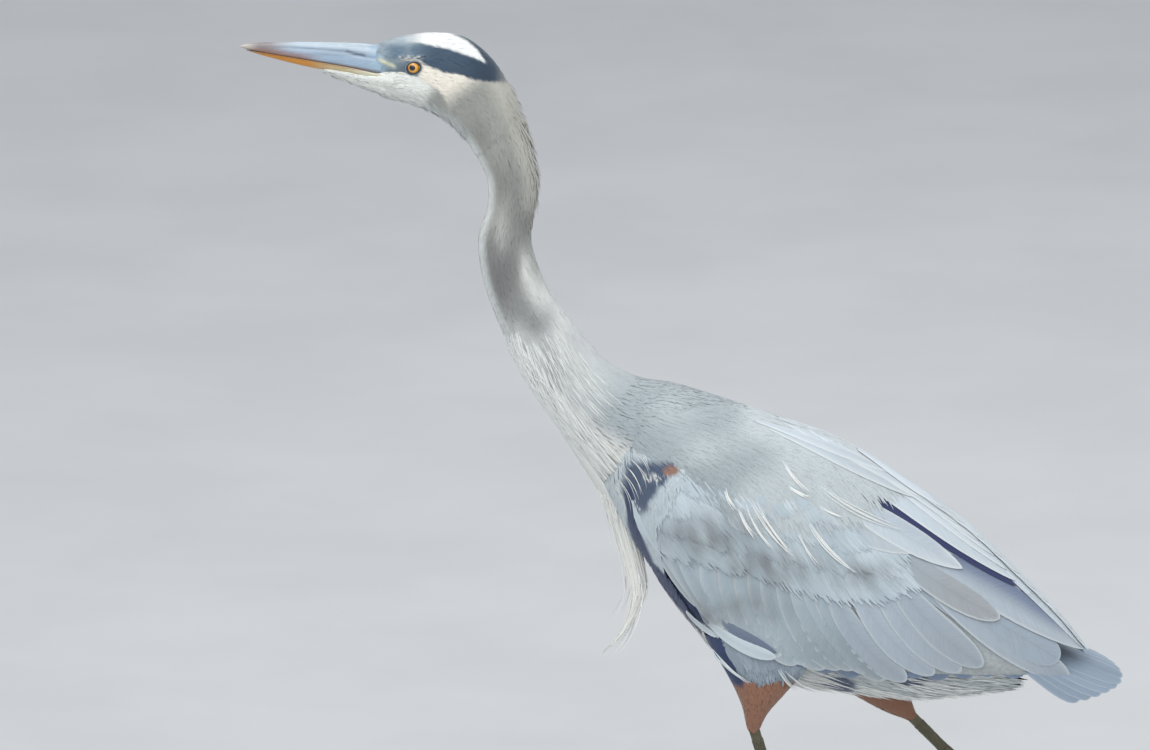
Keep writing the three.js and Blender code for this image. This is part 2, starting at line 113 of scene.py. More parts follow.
def wave(*terms):
    """A cheap smooth noise between -1 and 1: the mean of sines of the given phases."""
    return sum(np.sin(t) for t in terms) / len(terms)


# ---------- the bird's forms ----------

# Rows of a form: top (x, z), bottom (x, z), half width, lift of the widest level.
BODY_ROWS = [
    (-424, 942, -426, 895, 12.5, 0.1),  # bill base
    (-408, 948.5, -415, 889, 15, 0.15),  # lores
    (-388, 953, -396, 884, 19.3, 0.2),  # eye
    (-362, 955, -374, 876, 22, 0.12),  # crown
    (-334, 950, -356, 866, 22, 0.05),  # rear crown
    (-308, 929, -344, 856, 21, 0),  # nape
    (-289, 899, -333, 843, 20, 0),  # neck top
    (-277, 868, -325, 830, 19.5, 0),  # upper neck
    (-267, 835, -318, 817, 19.5, 0),  # upper bow
    (-262, 804, -312.5, 801, 19.5, 0),  # rear bulge
    (-265, 772, -313, 775, 20, 0),  # kink
    (-268, 742, -322, 745, 21, 0),  # front bulge
    (-260, 712, -318, 704, 22, 0),  # lower bow
    (-243, 678, -304, 661, 24, 0),  # lower neck
    (-219, 647, -286, 621, 27, 0),  # neck flare
    (-192, 616, -262, 577, 33, 0),  # neck root
    (-160, 599, -229.5, 531.5, 43, 0.02),  # shoulder front
    (-122, 592, -194, 488, 54, 0.08),  # shoulders
    (-78, 578, -166, 436, 61, 0.1),  # breast
    (-20, 557, -133, 376, 66, 0.1),  # mid trunk
    (45, 531, -86, 321, 65, 0.08),  # belly
    (110, 486, -22, 287, 57, 0.05),  # flank
    (165, 440, 58, 272, 44, 0),  # rump
    (205, 392, 128, 267, 30, 0),  # vent
    (232, 352, 190, 273, 17, 0),  # tail coverts
]

WING_ROWS = [
    (-146, 592, -200, 490, 50, 0.1),  # leading edge
    (-132, 588, -190, 474, 60, 0.1),  # wrist
    (-78, 577, -168, 430, 75, 0.12),  # shoulder
    (-20, 557, -130, 373, 81, 0.12),  # forearm
    (45, 533, -84, 318, 82, 0.1),  # elbow
    (110, 491, -20, 285, 76, 0.05),  # secondaries
    (170, 446, 60, 271, 65, 0),  # tertials
    (222, 395, 148, 267, 50, 0),  # folded hand
    (262, 353, 222, 268, 35, 0),  # primaries
    (292, 314, 284, 272, 17, 0),  # wing tip
]

CHIN_ROWS = [
    (-477, 917.4, -477, 916, 1.5, 0),
    (-456, 912.9, -456, 905.6, 7, 0.3),
    (-434, 909, -434, 897.4, 11, 0.3),
    (-414, 908, -414, 890, 13, 0.2),
]

BILL_UPPER_ROWS = [
    (-418, 943, -418, 916, 12.4, -0.75),
    (-425.4, 942.5, -425.4, 916.6, 11.8, -0.75),
    (-447, 944.3, -447, 921.3, 9.6, -0.75),
    (-490, 945.2, -490, 928.4, 6.6, -0.75),
    (-530, 945, -530, 934.6, 3.9, -0.75),
    (-551, 943.4, -551, 938.2, 2, -0.6),
    (-559, 941.6, -559, 940.6, 0.5, 0),
]

BILL_LOWER_ROWS = [
    (-418, 915.6, -418, 906, 12.4, 0.75),
    (-425.4, 916.2, -425.4, 907.6, 12, 0.75),
    (-447, 920.9, -447, 911.5, 9.8, 0.75),
    (-490, 928, -490, 919.6, 6.7, 0.75),
    (-530, 934.2, -530, 929.8, 3.8, 0.75),
    (-552, 937.6, -552, 936.6, 0.8, 0),
]

# Each leg: the side's y, the thigh's rows, and the points hem, hock and foot as (x, z).
LEGS = {
    "left": {
        "y": -43,
        "thigh": [
            (25, 345, -98, 346, 24, 0),
            (6, 308, -80, 316, 21, 0),
            (-15, 282, -67, 292, 17, 0),
            (-31, 263, -58, 270, 12, 0),
            (-39, 247, -54, 252, 7.5, 0),
        ],
        "hem": (-46.5, 249.2),
        "hock": (-21, 166),
        "foot": (-110, 8),
    },
    "right": {
        "y": 43,
        "thigh": [
            (95, 330, -28, 330, 24, 0),
            (98, 296, 8, 288, 21, 0),
            (104, 272, 48, 262, 17, 0),
            (111, 259, 82, 242, 12, 0),
            (117, 243, 106, 232, 7.5, 0),
        ],
        "hem": (111.8, 237.2),
        "hock": (167, 180),
        "foot": (134, 8),
    },
}

# Toe: yaw towards the midline in degrees, length without the claw, radius, number of joints.
TOES = {
    "inner": (26, 74, 4.2, 3),
    "middle": (0, 92, 4.5, 4),
    "outer": (-27, 80, 4.2, 4),
    "hind": (172, 50, 4.0, 2),
}


class Form:
    """A tapering form through rows. Place t counts rows, and angle a runs round from the top over +y."""

    def __init__(self, rows, y=0.0, relief=None):
        self.rows = np.array(rows, float)
        self.last = len(rows) - 1
        self.y = y
        self.relief = relief

    def at(self, t, a, grow=0.0):
        t, a, grow = np.broadcast_arrays(np.asarray(t, float), a, grow)
        row = spline(self.rows, t)
        top, bottom, half, lift = row[..., 0:2], row[..., 2:4], row[..., 4], row[..., 5]
        middle, up = (top + bottom) / 2, (top - bottom) / 2
        depth = np.linalg.norm(up, axis=-1)
        level = np.clip(np.cos(a) + lift * np.sin(a) ** 2, -1, 1) * (depth + grow) / depth
        y = self.y + (half + grow) * np.sin(a)
        xz = middle + up * level[..., None]
        points = np.stack([xz[..., 0], y, xz[..., 1]], -1)
        if self.relief:
            points = self.relief(points, a)
        return points

    def frame(self, t, a):
        """Points, outward normals, direction of growing t, and millimetres for one step of t and of a."""
        step = 0.02
        points = self.at(t, a)
        by_t = (self.at(t + step, a) - self.at(t - step, a)) / (2 * step)
        by_a = (self.at(t, a + step) - self.at(t, a - step)) / (2 * step)
        normal = unit(np.cross(by_t, by_a))
        inside = self.at(t, a, -1.0)
        flip = np.sign(np.sum(normal * (points - inside), -1, keepdims=True))
        flip[flip == 0] = 1
        return points, normal * flip, unit(by_t), np.linalg.norm(by_t, axis=-1), np.linalg.norm(by_a, axis=-1)


def head_relief(points, a):
    """The brow, the hollow before the eye, the socket and the cheek, as sideways moves of the head's form."""
    x, z = points[..., 0], points[..., 2]
    facing = np.abs(np.sin(a)) ** 1.5
    move = -2.2 * blob(x, z, (-409, 921), (13, 7))
    move += 1.3 * blob(x, z, (-387, 935), (17, 3.2))
    move += -1.2 * blob(x, z, (EYE[0], EYE[2]), (8.5, 7.5))
    move += 1.4 * blob(x, z, (-381, 899), (19, 9))
    move += -0.8 * blob(x, z, (-404, 905.5), (14, 1.6))
    points[..., 1] += np.sign(points[..., 1]) * move * facing
    return points


BODY = Form(BODY_ROWS, relief=head_relief)
WING = Form(WING_ROWS)
CHIN = Form(CHIN_ROWS)


def sight(points):
    """The sighted height q of points on either side of the bird."""
    return points[..., 2] - np.abs(points[..., 1]) * SLOPE


# ---------- meshes ----------


class Parts:
    """Gathers faces and per-point values for one mesh or more."""

    def __init__(self):
        self.points, self.quads, self.caps = [], [], []
        self.colours, self.quills, self.patches, self.normals = [], [], [], []
        self.count = 0

    def add(self, points, quads, caps, colours, quills, patches, normals):
        self.points.append(points)
        self.quads.append(quads + self.count)
        self.caps.append(caps + self.count)
        self.colours.append(colours)
        self.quills.append(quills)
        self.patches.append(patches)
        self.normals.append(normals)
        self.count += len(points)


def write_points(mesh, points):
    mesh.vertices.foreach_set("co", place(points).astype(np.float32).ravel())


def read_points(mesh):
    """The mesh's points in bird millimetres."""
    co = np.zeros(len(mesh.vertices) * 3)
    mesh.vertices.foreach_get("co", co)
    co = co.reshape(-1, 3) * 1000
    co[:, 0] -= SHIFT
    return co


def set_mesh(name, points, faces_by_size):
    """A mesh from points in bird millimetres and arrays of faces, one array for each number of corners."""
    mesh = bpy.data.meshes.new(name)
    mesh.vertices.add(len(points))
    write_points(mesh, points)
    faces_by_size = [f for f in faces_by_size if len(f)]
    corners = np.concatenate([f.ravel() for f in faces_by_size]).astype(np.int32)
    sizes = np.concatenate([np.full(len(f), f.shape[1]) for f in faces_by_size])
    starts = np.concatenate([[0], np.cumsum(sizes)[:-1]]).astype(np.int32)
    mesh.loops.add(len(corners))
    mesh.loops.foreach_set("vertex_index", corners)
    mesh.polygons.add(len(sizes))
    mesh.polygons.foreach_set("loop_start", starts)
    mesh.polygons.foreach_set("use_smooth", np.ones(len(sizes), bool))
    mesh.update(calc_edges=True)
    mesh.validate()
    return mesh, corners


def colour_points(mesh, colours):
    rgba = np.ones((len(colours), 4), np.float32)
    rgba[:, :3] = colours
    layer = mesh.color_attributes.new("coat", "FLOAT_COLOR", "POINT")
    layer.data.foreach_set("color", rgba.ravel())


def show(name, mesh, material, nodes=()):
    """Adds the mesh as a piece that rides on the root and may stand for CAD nodes."""
    piece = bpy.data.objects.new(name, mesh)
    bpy.context.scene.collection.objects.link(piece)
    mesh.materials.append(material)
    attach(piece, "root")
    if nodes:
        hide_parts(*nodes)


def show_solid(name, mesh, colours, material, nodes=()):
    """Adds a smooth solid, with a colour for each of its points."""
    colour_points(mesh, colours)
    mesh.polygons.foreach_set("use_smooth", np.ones(len(mesh.polygons), bool))
    show(name, mesh, material, nodes)


def show_coat(name, parts, material):
    """Adds the feathers gathered in parts as one piece, with their colours, quills, shading and bake map."""
    points = np.concatenate(parts.points)
    mesh, corners = set_mesh(name, points, [np.concatenate(parts.quads), *parts.caps])
    colour_points(mesh, np.concatenate(parts.colours))
    quill = mesh.attributes.new("quill", "FLOAT_VECTOR", "POINT")
    quill.data.foreach_set("vector", np.concatenate(parts.quills).astype(np.float32).ravel())
    patches = np.concatenate(parts.patches).astype(np.float32)
    uv = mesh.uv_layers.new(name="OFBake")
    uv.data.foreach_set("uv", patches[corners].ravel())
    if parts.normals[0] is not None:
        mesh.normals_split_custom_set_from_vertices(np.concatenate(parts.normals).astype(np.float32))
    show(name, mesh, material)


TUFT = np.array([(1, 0), (0, 1), (-1, 0)], float)
BLADE = np.array([(1, 0), (0.5, 0.8), (0, 1), (-0.5, 0.8), (-1, 0), (-0.5, -0.3), (0, -0.4), (0.5, -0.3)],
                 float)
STRAND = np.array([(1, 0), (0, 1), (-1, 0), (0, -0.6)], float)
PATCH = 0.003  # the side of a tuft's or a strand's place on the bake map
VANE_PATCH = 0.02
FRAY_PATCH = 0.006
RIM_LEAN = 0.8  # how far the shading of a vane's rim leans outwards


def sweep(parts, base, normal, thick, profile, stations, colours, roots, patch=PATCH, bulge=0.3):
    """Closed feathers: base holds points by feather, station and point of the profile, and so does colours.

    Their shading follows the surface that they lie on, rounded across by the share bulge, or is left
    alone if that is None.
    """
    n, k, p = base.shape[:3]
    points = base + normal[:, :, None, :] * (thick[..., None] * profile[:, 1])[..., None]
    ring = np.arange(p)
    after = (ring + 1) % p
    level = np.arange(k - 1)[:, None] * p
    quad = np.stack([level + ring, level + after, level + p + after, level + p + ring], -1).reshape(-1, 4)
    first = (np.arange(n) * k * p)[:, None, None]
    quads = (quad[None] + first).reshape(-1, 4)
    caps = np.stack([ring[::-1], ring + (k - 1) * p])[None] + first
    shading = None
    if bulge is not None:
        across = unit(base[:, :, profile[:, 0].argmax()] - base[:, :, profile[:, 0].argmin()])
        upper = np.where(profile[:, 1] >= 0, 1.0, -1.0)[:, None]
        rim = np.sign(profile[:, 0]) * (np.abs(profile[:, 0]) > 0.99) * (p > len(TUFT))
        lean = bulge * profile[:, 0] + RIM_LEAN * rim
        shading = unit(normal[:, :, None] * upper + across[:, :, None] * lean[:, None]).reshape(-1, 3)
    chance = rng.random(n)
    quills = np.zeros((n, k, p, 3))
    quills[..., 0] = profile[:, 0]
    quills[..., 1] = stations[None, :, None]
    quills[..., 2] = chance[:, None, None]
    patches = np.zeros((n, k, p, 2))
    patches[..., 0] = roots[:, 0, None, None] + profile[:, 0] * patch / 2
    patches[..., 1] = roots[:, 1, None, None] + (stations[None, :, None] - 0.5) * patch
    parts.add(
        points.reshape(-1, 3),
        quads,
        caps.reshape(-1, p),
        np.broadcast_to(colours, (n, k, p, 3)).reshape(-1, 3),
        quills.reshape(-1, 3),
        np.clip(patches.reshape(-1, 2), 0.001, 0.999),
        shading,
    )


# ---------- colours ----------


def linear(r, g, b):
    """A colour as it looks on a screen, 0 to 255, as the linear light that a material takes."""
    c = np.array([r, g, b], float) / 255
    return np.where(c <= 0.04045, c / 12.92, ((c + 0.055) / 1.055) ** 2.4)


CROWN_WHITE = linear(244, 246, 245)
STRIPE = linear(66, 86, 106)
STRIPE_REAR = linear(44, 63, 82)
FOREHEAD = linear(108, 131, 150)
FOREHEAD_PALE_AND_HIGHLIGHT = linear(176, 190, 199)
CHEEK = linear(246, 250, 245)
EAR = linear(250, 244, 231)
NECK_GREY = linear(158, 160, 155)
NECK_LOW = linear(200, 204, 205)
NECK_MOTTLE_AND_SHADE_GREY = linear(112, 112, 114)
NECK_REAR_WARM_AND_LIT = linear(196, 194, 182)
NECK_FRONT = linear(214, 220, 219)
FORE_STREAK = linear(62, 54, 54)
FORE_RUFOUS = linear(168, 112, 78)
MANTLE = linear(163, 174, 179)
MANTLE_PALE = linear(192, 201, 204)
WING_BROWN = linear(136, 142, 146)
# Navy of the slit under the back's feathers, partly painted shadow.
SLIT_NAVY_AND_SHADOW = linear(44, 52, 96)
BLUE_BLACK = linear(46, 66, 100)
EDGE_NAVY = linear(40, 60, 100)
PLUME = linear(250, 251, 246)
RUFOUS = linear(146, 104, 82)
RUFOUS_SPOT = linear(156, 120, 106)
FLANK = linear(142, 152, 162)
SNOW = linear(232, 234, 230)
UNDER_TAIL_SHADE = linear(192, 199, 200)
LORE = linear(128, 145, 156)
LORE_PALE = linear(154, 180, 200)
LORE_DARK = linear(84, 99, 112)
LORE_YELLOW = linear(226, 226, 192)
LEG = linear(104, 100, 80)
LEG_DARK = linear(58, 54, 46)
HORN = linear(52, 47, 42)

STRIPE_TOP = [(-400, 946), (-389, 945.5), (-377, 943.5), (-365, 941), (-349, 937.5), (-337, 933),
              (-325, 929), (-313, 924), (-300, 914)]
STRIPE_LOW = [(-391, 930), (-378, 925), (-369, 918.5), (-359, 915), (-349, 913), (-337, 910.5), (-327, 907),
              (-315, 904.5), (-289, 904)]
JAW = [(-480, 930), (-425, 914), (-409, 914.5), (-394, 912.5), (-381.5, 907.3), (-369, 901), (-361, 896),
       (-354, 884), (-350, 870)]


def mix(base, other, share):
    return base + (other - base) * share[..., None]


def even(points, tone):
    """One tone for every point."""
    return np.zeros(points.shape) + tone


def head_colour(points, base):
    """The head's markings over base: white jaw and crown, cream ear, dark stripe, grey forehead with a
    painted highlight along its top.
    """
    x, y, q = points[..., 0], points[..., 1], sight(points)
    wobble = 1.2 * wave(x * 0.31 + q * 0.17, x * 0.13 - q * 0.43, x * 0.71 + y)
    jaw = q - along(JAW, x) + wobble
    colour = mix(base, EAR, smooth(-3, 3, jaw) * smooth(-305, -345, x + (908 - q) * 1.2))
    colour = mix(colour, CHEEK, smooth(2.5, -2.5, jaw) * smooth(9, -9, x + 369 - (q - 892) * 0.57))
    above = smooth(-1.5, 1.5, q - along(STRIPE_LOW, x) + wobble)
    crown = smooth(-1.8, 1.8, q - along(STRIPE_TOP, x) + wobble * 0.6)
    stripe = mix(even(points, STRIPE), STRIPE_REAR, smooth(-350, -312, x))
    colour = mix(colour, stripe, above * smooth(-395, -386, x))
    # The forehead's top edge is painted lighter as a highlight; towards the bill it is paler plumage.
    top = np.maximum(smooth(938, 948, q), 0.6 * smooth(-404, -420, x))
    forehead = mix(even(points, FOREHEAD), FOREHEAD_PALE_AND_HIGHLIGHT, top)
    colour = mix(colour, forehead, smooth(-362, -398, x) * smooth(923, 929, q))
    brow = np.exp(-(((q - 929) / 2.0) ** 2)) * smooth(-403, -397, x) * smooth(-374, -381, x)
    colour = mix(colour, EAR, brow * smooth(-0.3, 0.5, wave(x * 1.3 + q, x * 0.7 - q * 0.9)) * 0.75)
    rear = along([(-352, 958), (-342, 953), (-333, 948.5), (-323, 940), (-313, 925), (-303, 905)], x) - q
    return mix(colour, CROWN_WHITE, crown * smooth(-398, -373, x) * smooth(-1, 4, rear))


LORE_LOW = [(-430, 911), (-421, 913), (-409, 914), (-399, 913.5), (-390, 910), (-380, 910)]


def lore_share(points):
    """1 on the bare skin between the eye and the bill."""
    x, q = points[..., 0], sight(points)
    low = along(LORE_LOW, x)
    high = along([(-430, 938), (-420, 933), (-409, 927.5), (-399, 925.6), (-391, 925.6), (-381, 923)], x)
    return smooth(low - 1, low + 1, q) * smooth(high + 1, high - 1, q) * smooth(-379, -382, x)


# Soft dark and light places on the neck, mottling with painted shade and light: centre (x, q), radii,
# strength.
NECK_DARK_MOTTLE_AND_SHADE = [
    ((-300, 716), (21, 40), 0.85), ((-291, 690), (16, 26), 0.5), ((-289, 800), (14, 24), 0.5),
    ((-276, 760), (11, 20), 0.7), ((-280, 668), (13, 15), 0.5), ((-263, 655), (15, 13), 0.55),
    ((-248, 615), (13, 26), 0.5), ((-318, 850), (14, 14), 0.35),
]
NECK_PALE_MOTTLE_AND_LIGHT = [
    ((-274, 712), (6, 17), 0.6), ((-266, 695), (8, 14), 0.55), ((-257, 684), (9, 11), 0.6),
    ((-299, 752), (7, 20), 0.3), ((-240, 650), (8, 26), 0.5), ((-282, 634), (5, 18), 0.4),
    ((-259, 598), (5, 18), 0.4),
]


def neck_colour(points, a):
    """Grey neck with a paler front edge, a warm rear partly painted light, soft blotches partly painted shade
    and light, and faint streaks down its front.
    """
    x, z, q = points[..., 0], points[..., 2], sight(points)
    front = np.cos(a - np.pi)
    # Paler lower neck, reaching higher at the rear, and a warm upper rear: plumage tones with painted light
    # on the lit rear.
    colour = mix(even(points, NECK_GREY), NECK_LOW, smooth(725, 630, z + 16 * front))
    colour = mix(colour, NECK_REAR_WARM_AND_LIT, smooth(0.1, 0.8, -front) * smooth(740, 770, z) * 0.55)
    # Dark and light blotches: mottling with painted shade and painted light.
    for place_, radii, strength in NECK_DARK_MOTTLE_AND_SHADE:
        colour = mix(colour, NECK_MOTTLE_AND_SHADE_GREY, strength * blob(x, q, place_, radii))
    for place_, radii, strength in NECK_PALE_MOTTLE_AND_LIGHT:
        colour = mix(colour, SNOW, strength * blob(x, q, place_, radii))
    grain = wave(z * 0.057 + a * 2.1, z * 0.11 - a * 5.3 + 1.0, x * 0.05 + a * 7.7)
    colour = colour * (1 + 0.09 * grain)[..., None]
    colour = mix(colour, NECK_FRONT, smooth(0.6, 0.95, front) * smooth(610, 660, z))
    stripe = smooth(0.965, 0.99, front) * smooth(850, 830, z) * smooth(560, 600, z)
    streak = smooth(-0.15, 0.45, wave(z * 0.42 + a * 9, z * 0.23 - a * 17))
    return mix(colour, mix(even(points, FORE_RUFOUS), FORE_STREAK, streak), 0.3 * stripe)


def patch_colour(points, colour):
    """The blue-black shoulder patch with its white and rufous spots, over a colour."""
    x, q = points[..., 0], sight(points)
    wobble = 1.6 * wave(x * 0.43 + q * 0.2, q * 0.51 - x * 0.15)
    rear = along([(440, -160), (462, -155), (478, -147), (495, -133), (506, -124), (514, -128)], q)
    front = along([(440, -168), (462, -173), (480, -178), (500, -177), (514, -170)], q)
    inside = smooth(-4, 4, rear - x + wobble) * smooth(-4, 4, x - front + wobble)
    inside = inside * smooth(448, 468, q + wobble) * smooth(516, 509, q)
    colour = mix(colour, BLUE_BLACK, 0.9 * inside)
    streaks = smooth(-0.6, 0.4, wave(x * 0.9 + q * 1.4, q * 2.3 - x * 0.5))
    spot = smooth(0.4, 0.7, blob(x + 0.4 * (q - 496), q, (-149, 496), (11, 5.5)))
    colour = mix(colour, SNOW, streaks * spot)
    return mix(colour, RUFOUS_SPOT, smooth(0.3, 0.65, blob(x, q, (-130, 503.5), (9, 6))))


# The folded wing's front edge, as (q, x).
WING_FRONT = [(330, -92), (349, -104), (384, -133), (408, -154), (446, -168), (475, -171), (500, -176)]


def rim_share(points):
    """1 on the dark line of the body that shows before the folded wing's front edge."""
    x, q = points[..., 0], sight(points)
    edge = along(WING_FRONT, q)
    wide = np.interp(q, [380, 450], [5, 2])
    return smooth(5, 1, np.abs(x - edge) - wide) * smooth(325, 333, q) * smooth(500, 480, q)


# Dark spots under the wing's edge, before and behind the thigh: centre (x, q) and radii.
NAVY_SPOTS = [((38, 279), (20, 11)), ((108, 286), (24, 9))]


def mantle_tone(points):
    """The grey of the shoulders and back, paler towards the rear, in soft clouds."""
    x, q = points[..., 0], sight(points)
    clouds = wave(x * 0.06 + q * 0.05, q * 0.09 - x * 0.05, x * 0.023 - q * 0.031 + 2)
    return mix(even(points, MANTLE), MANTLE_PALE, smooth(-0.6, 0.8, clouds + 1.5 * smooth(-90, -20, x) - 0.5))


def body_colour(points, t, a):
    """All markings over the body form."""
    x, q = points[..., 0], sight(points)
    neck = neck_colour(points, a)
    colour = mix(head_colour(points, neck), neck, smooth(5.6, 6.8, t + 0.5 * np.cos(a)))
    colour = mix(colour, mantle_tone(points), smooth(14.2, 16.4, t) * smooth(0.35, -0.1, np.cos(a - np.pi)))
    below = np.cos(a - np.pi)
    breast = mix(even(points, SNOW), FLANK, smooth(0.75, 0.35, below) * smooth(16.5, 18, t))
    breast = mix(breast, FLANK, smooth(18.6, 20.2, t) * 0.75)
    colour = mix(colour, breast, smooth(14.5, 16.5, t) * smooth(0.05, 0.5, below))
    black = smooth(16.8, 17.6, t) * smooth(20.6, 19.6, t)
    black = black * smooth(0.62, 0.8, below) * smooth(0.985, 0.93, below)
    white_streak = smooth(0.35, 0.75, wave(a * 26, a * 11 + t * 3, t * 5 - a * 7))
    colour = mix(colour, BLUE_BLACK, black * (1 - 0.8 * white_streak))
    # The underside towards the tail is greyed, as painted shade under the body.
    colour = mix(colour, UNDER_TAIL_SHADE, smooth(19.4, 20.6, t) * smooth(0.0, 0.4, below))
    for place_, radii in NAVY_SPOTS:
        spot = smooth(0.35, 0.6, blob(x, q, place_, radii)) * smooth(-0.1, 0.2, below)
        colour = mix(colour, BLUE_BLACK, 0.9 * spot)
    colour = mix(colour, EDGE_NAVY, rim_share(points) * smooth(14, 15, t))
    return patch_colour(points, colour)


def leg_colour(points):
    """Olive-brown legs with darker blotches, darker low down and on the toes."""
    x, z = points[..., 0], points[..., 2]
    blotch = wave(z * 0.13, x * 0.2 + z * 0.07, points[..., 1] * 0.9)
    colour = mix(even(points, LEG), LEG_DARK, smooth(-0.5, 0.9, blotch) * 0.45)
    return mix(colour, LEG_DARK, smooth(40, 6, z) * 0.6)


# ---------- the skin ----------


def form_mesh(form, rings, sides, depth, stop=None):
    """A closed mesh of a form, its wall moved in by depth millimetres (a number or a function of t)."""
    stop = form.last if stop is None else stop
    t = np.linspace(0, stop, rings)[:, None]
    a = np.linspace(0, 2 * np.pi, sides, endpoint=False)[None]
    shrink = depth(t) if callable(depth) else depth
    points = form.at(t, a, -shrink).reshape(-1, 3)
    return tube_mesh(points, rings, sides)


def tube_mesh(points, rings, sides):
    """Vertices and faces of a capped tube whose points come ring by ring."""
    ring = np.arange(sides)
    after = (ring + 1) % sides
    level = np.arange(rings - 1)[:, None] * sides
    quads = np.stack([level + ring, level + after, level + sides + after, level + sides + ring], -1)
    faces = quads.reshape(-1, 4).tolist()
    faces.append(ring[::-1].tolist())
    faces.append((ring + (rings - 1) * sides).tolist())
    return points, faces


def limb_form(path, radii, y, relief=None):
    """A form round a path of (x, z) points, with (in the plane of the limb, sideways) radii at each."""
    path = np.array(path, float)
    ahead = unit(np.gradient(path, axis=0))
    rear = np.stack([-ahead[:, 1], ahead[:, 0]], -1) * np.array([r for r, _ in radii])[:, None]
    rows = [(*(p + n), *(p - n), side, 0) for p, n, (_, side) in zip(path, rear, radii)]
    return Form(rows, y, relief)


# The bare leg: share of the way along the shank or the tarsus, and the radii there.
SHANK_ROWS = [(-0.15, 6, 6), (0.2, 5.6, 5.3), (0.55, 5.3, 5), (0.84, 6.6, 6.2), (1, 9, 7.8)]
ROW_REACH = 33.0  # about how many millimetres of the leg lie between two rows
TARSUS_ROWS = [
    (0.09, 7.6, 6.6), (0.2, 5.6, 5), (0.5, 5.1, 4.6), (0.8, 5.3, 4.9), (0.93, 6, 6), (1.01, 6.4, 7),
]


def leg_form(leg):
    """The shank, hock and tarsus as one form, from inside the thigh's hem to the foot."""
    hem, hock, foot = (np.array(leg[k], float) for k in ("hem", "hock", "foot"))
    shank = [hem + (hock - hem) * s for s, _, _ in SHANK_ROWS]
    tarsus = [hock + (foot - hock) * s for s, _, _ in TARSUS_ROWS]
    return limb_form(shank + tarsus, [r[1:] for r in SHANK_ROWS + TARSUS_ROWS], leg["y"])


def turned(leg, toe):
    """A relief that swings a toe's form from straight ahead round the foot to its own heading."""
    turn = math.radians(TOES[toe][0]) * (-1 if leg["y"] < 0 else 1)
    foot = np.array([leg["foot"][0], leg["y"]])

    def relief(points, _):
        flat = points[..., :2] - foot
        points[..., 0] = foot[0] + flat[..., 0] * math.cos(turn) - flat[..., 1] * math.sin(turn)
        points[..., 1] = foot[1] + flat[..., 0] * math.sin(turn) + flat[..., 1] * math.cos(turn)
        return points

    return relief


def toe_form(leg, toe):
    """The toe from the foot's pad to the claw, with a swelling under each joint."""
    _, length, radius, joints = TOES[toe]
    s = np.linspace(0, 1, joints * 4 + 1)
    size = radius * (1.04 - 0.38 * s) * (0.85 + 0.17 * (0.5 + 0.5 * np.cos(2 * np.pi * s * joints)))
    height = size * 0.72 + 3.4 * np.clip(1 - s * 4, 0, 1)
    path = np.stack([leg["foot"][0] - s * length, height], -1)
    return limb_form(path, np.stack([size, size * 0.94], -1), leg["y"], turned(leg, toe))


def joined_mesh(name, pieces):
    """One Blender mesh from (points, faces) pairs."""
    bm = bmesh.new()
    for points, faces in pieces:
        corners = [bm.verts.new(p) for p in place(points)]
        for face in faces:
            bm.faces.new([corners[i] for i in face])
    bmesh.ops.recalc_face_normals(bm, faces=bm.faces)
    mesh = bpy.data.meshes.new(name)
    bm.to_mesh(mesh)
    bm.free()
    return mesh


BEYOND = 200.0  # across the bird, past its sides


def slab(outline):
    """A prism standing across the bird on a side-view outline."""
    n = len(outline)
    flat = np.array([(x, y, z) for y in (-BEYOND, BEYOND) for x, z in outline], float)
    faces = [[i, (i + 1) % n, (i + 1) % n + n, i + n] for i in range(n)]
    return flat, faces + [list(range(n))[::-1], list(range(n, 2 * n))]


def apply_modifier(piece):
    """Bakes the piece's modifiers into its mesh."""
    evaluated = piece.evaluated_get(bpy.context.evaluated_depsgraph_get())
    mesh = bpy.data.meshes.new_from_object(evaluated)
    piece.modifiers.clear()
    old, piece.data = piece.data, mesh
    bpy.data.meshes.remove(old)


def scratch(name, mesh):
    piece = bpy.data.objects.new(name, mesh)
    bpy.context.scene.collection.objects.link(piece)
    return piece


WING_INSET = 5.2  # from the wing's outer form in to the skin under its feathers

# The flesh of the folded wing in side view, as (x, z).
WING_FLESH = [
    (-108, 556), (-132, 530), (-152, 500), (-161, 468), (-158, 436), (-140, 398), (-112, 358), (-60, 326),
    (10, 312), (90, 304), (170, 300), (232, 298), (256, 306), (222, 376), (165, 440), (100, 488),
    (40, 523), (-40, 549),
]


def wing_flesh():
    loft = scratch("wing_loft", joined_mesh("wing_loft", [form_mesh(WING, 60, 64, WING_INSET)]))
    cutter = scratch("wing_cutter", joined_mesh("wing_cutter", [slab(WING_FLESH)]))
    cut = loft.modifiers.new("cut", "BOOLEAN")
    cut.operation = "INTERSECT"
    cut.solver = "EXACT"
    cut.object = cutter
    apply_modifier(loft)
    mesh = loft.data
    bpy.data.objects.remove(loft)
    bpy.data.objects.remove(cutter)
    return mesh


def coat_depth(t):
    """How far the skin lies under the body's outline, at places along the body's rows."""
    return np.interp(t, [0, 0.5, 1, 3, 6, 12, 16, 18, 23, 24],
                     [1.6, 0.8, 0.8, 0.9, 1.1, 1.3, 1.8, 2.0, 2.1, 2.2])


def root_depth(t, sink):
    """How far a tuft's root lies under its tip's level so that it just meets the skin."""
    return np.maximum(coat_depth(t) - sink, 0) + 0.2


SKIN_VOXEL = 0.0018  # in metres
# The skin takes the coat's markings darkened, as painted shade where it shows between the feathers.
SKIN_GAP_SHADE = 0.8  # the skin's tone under the coat's


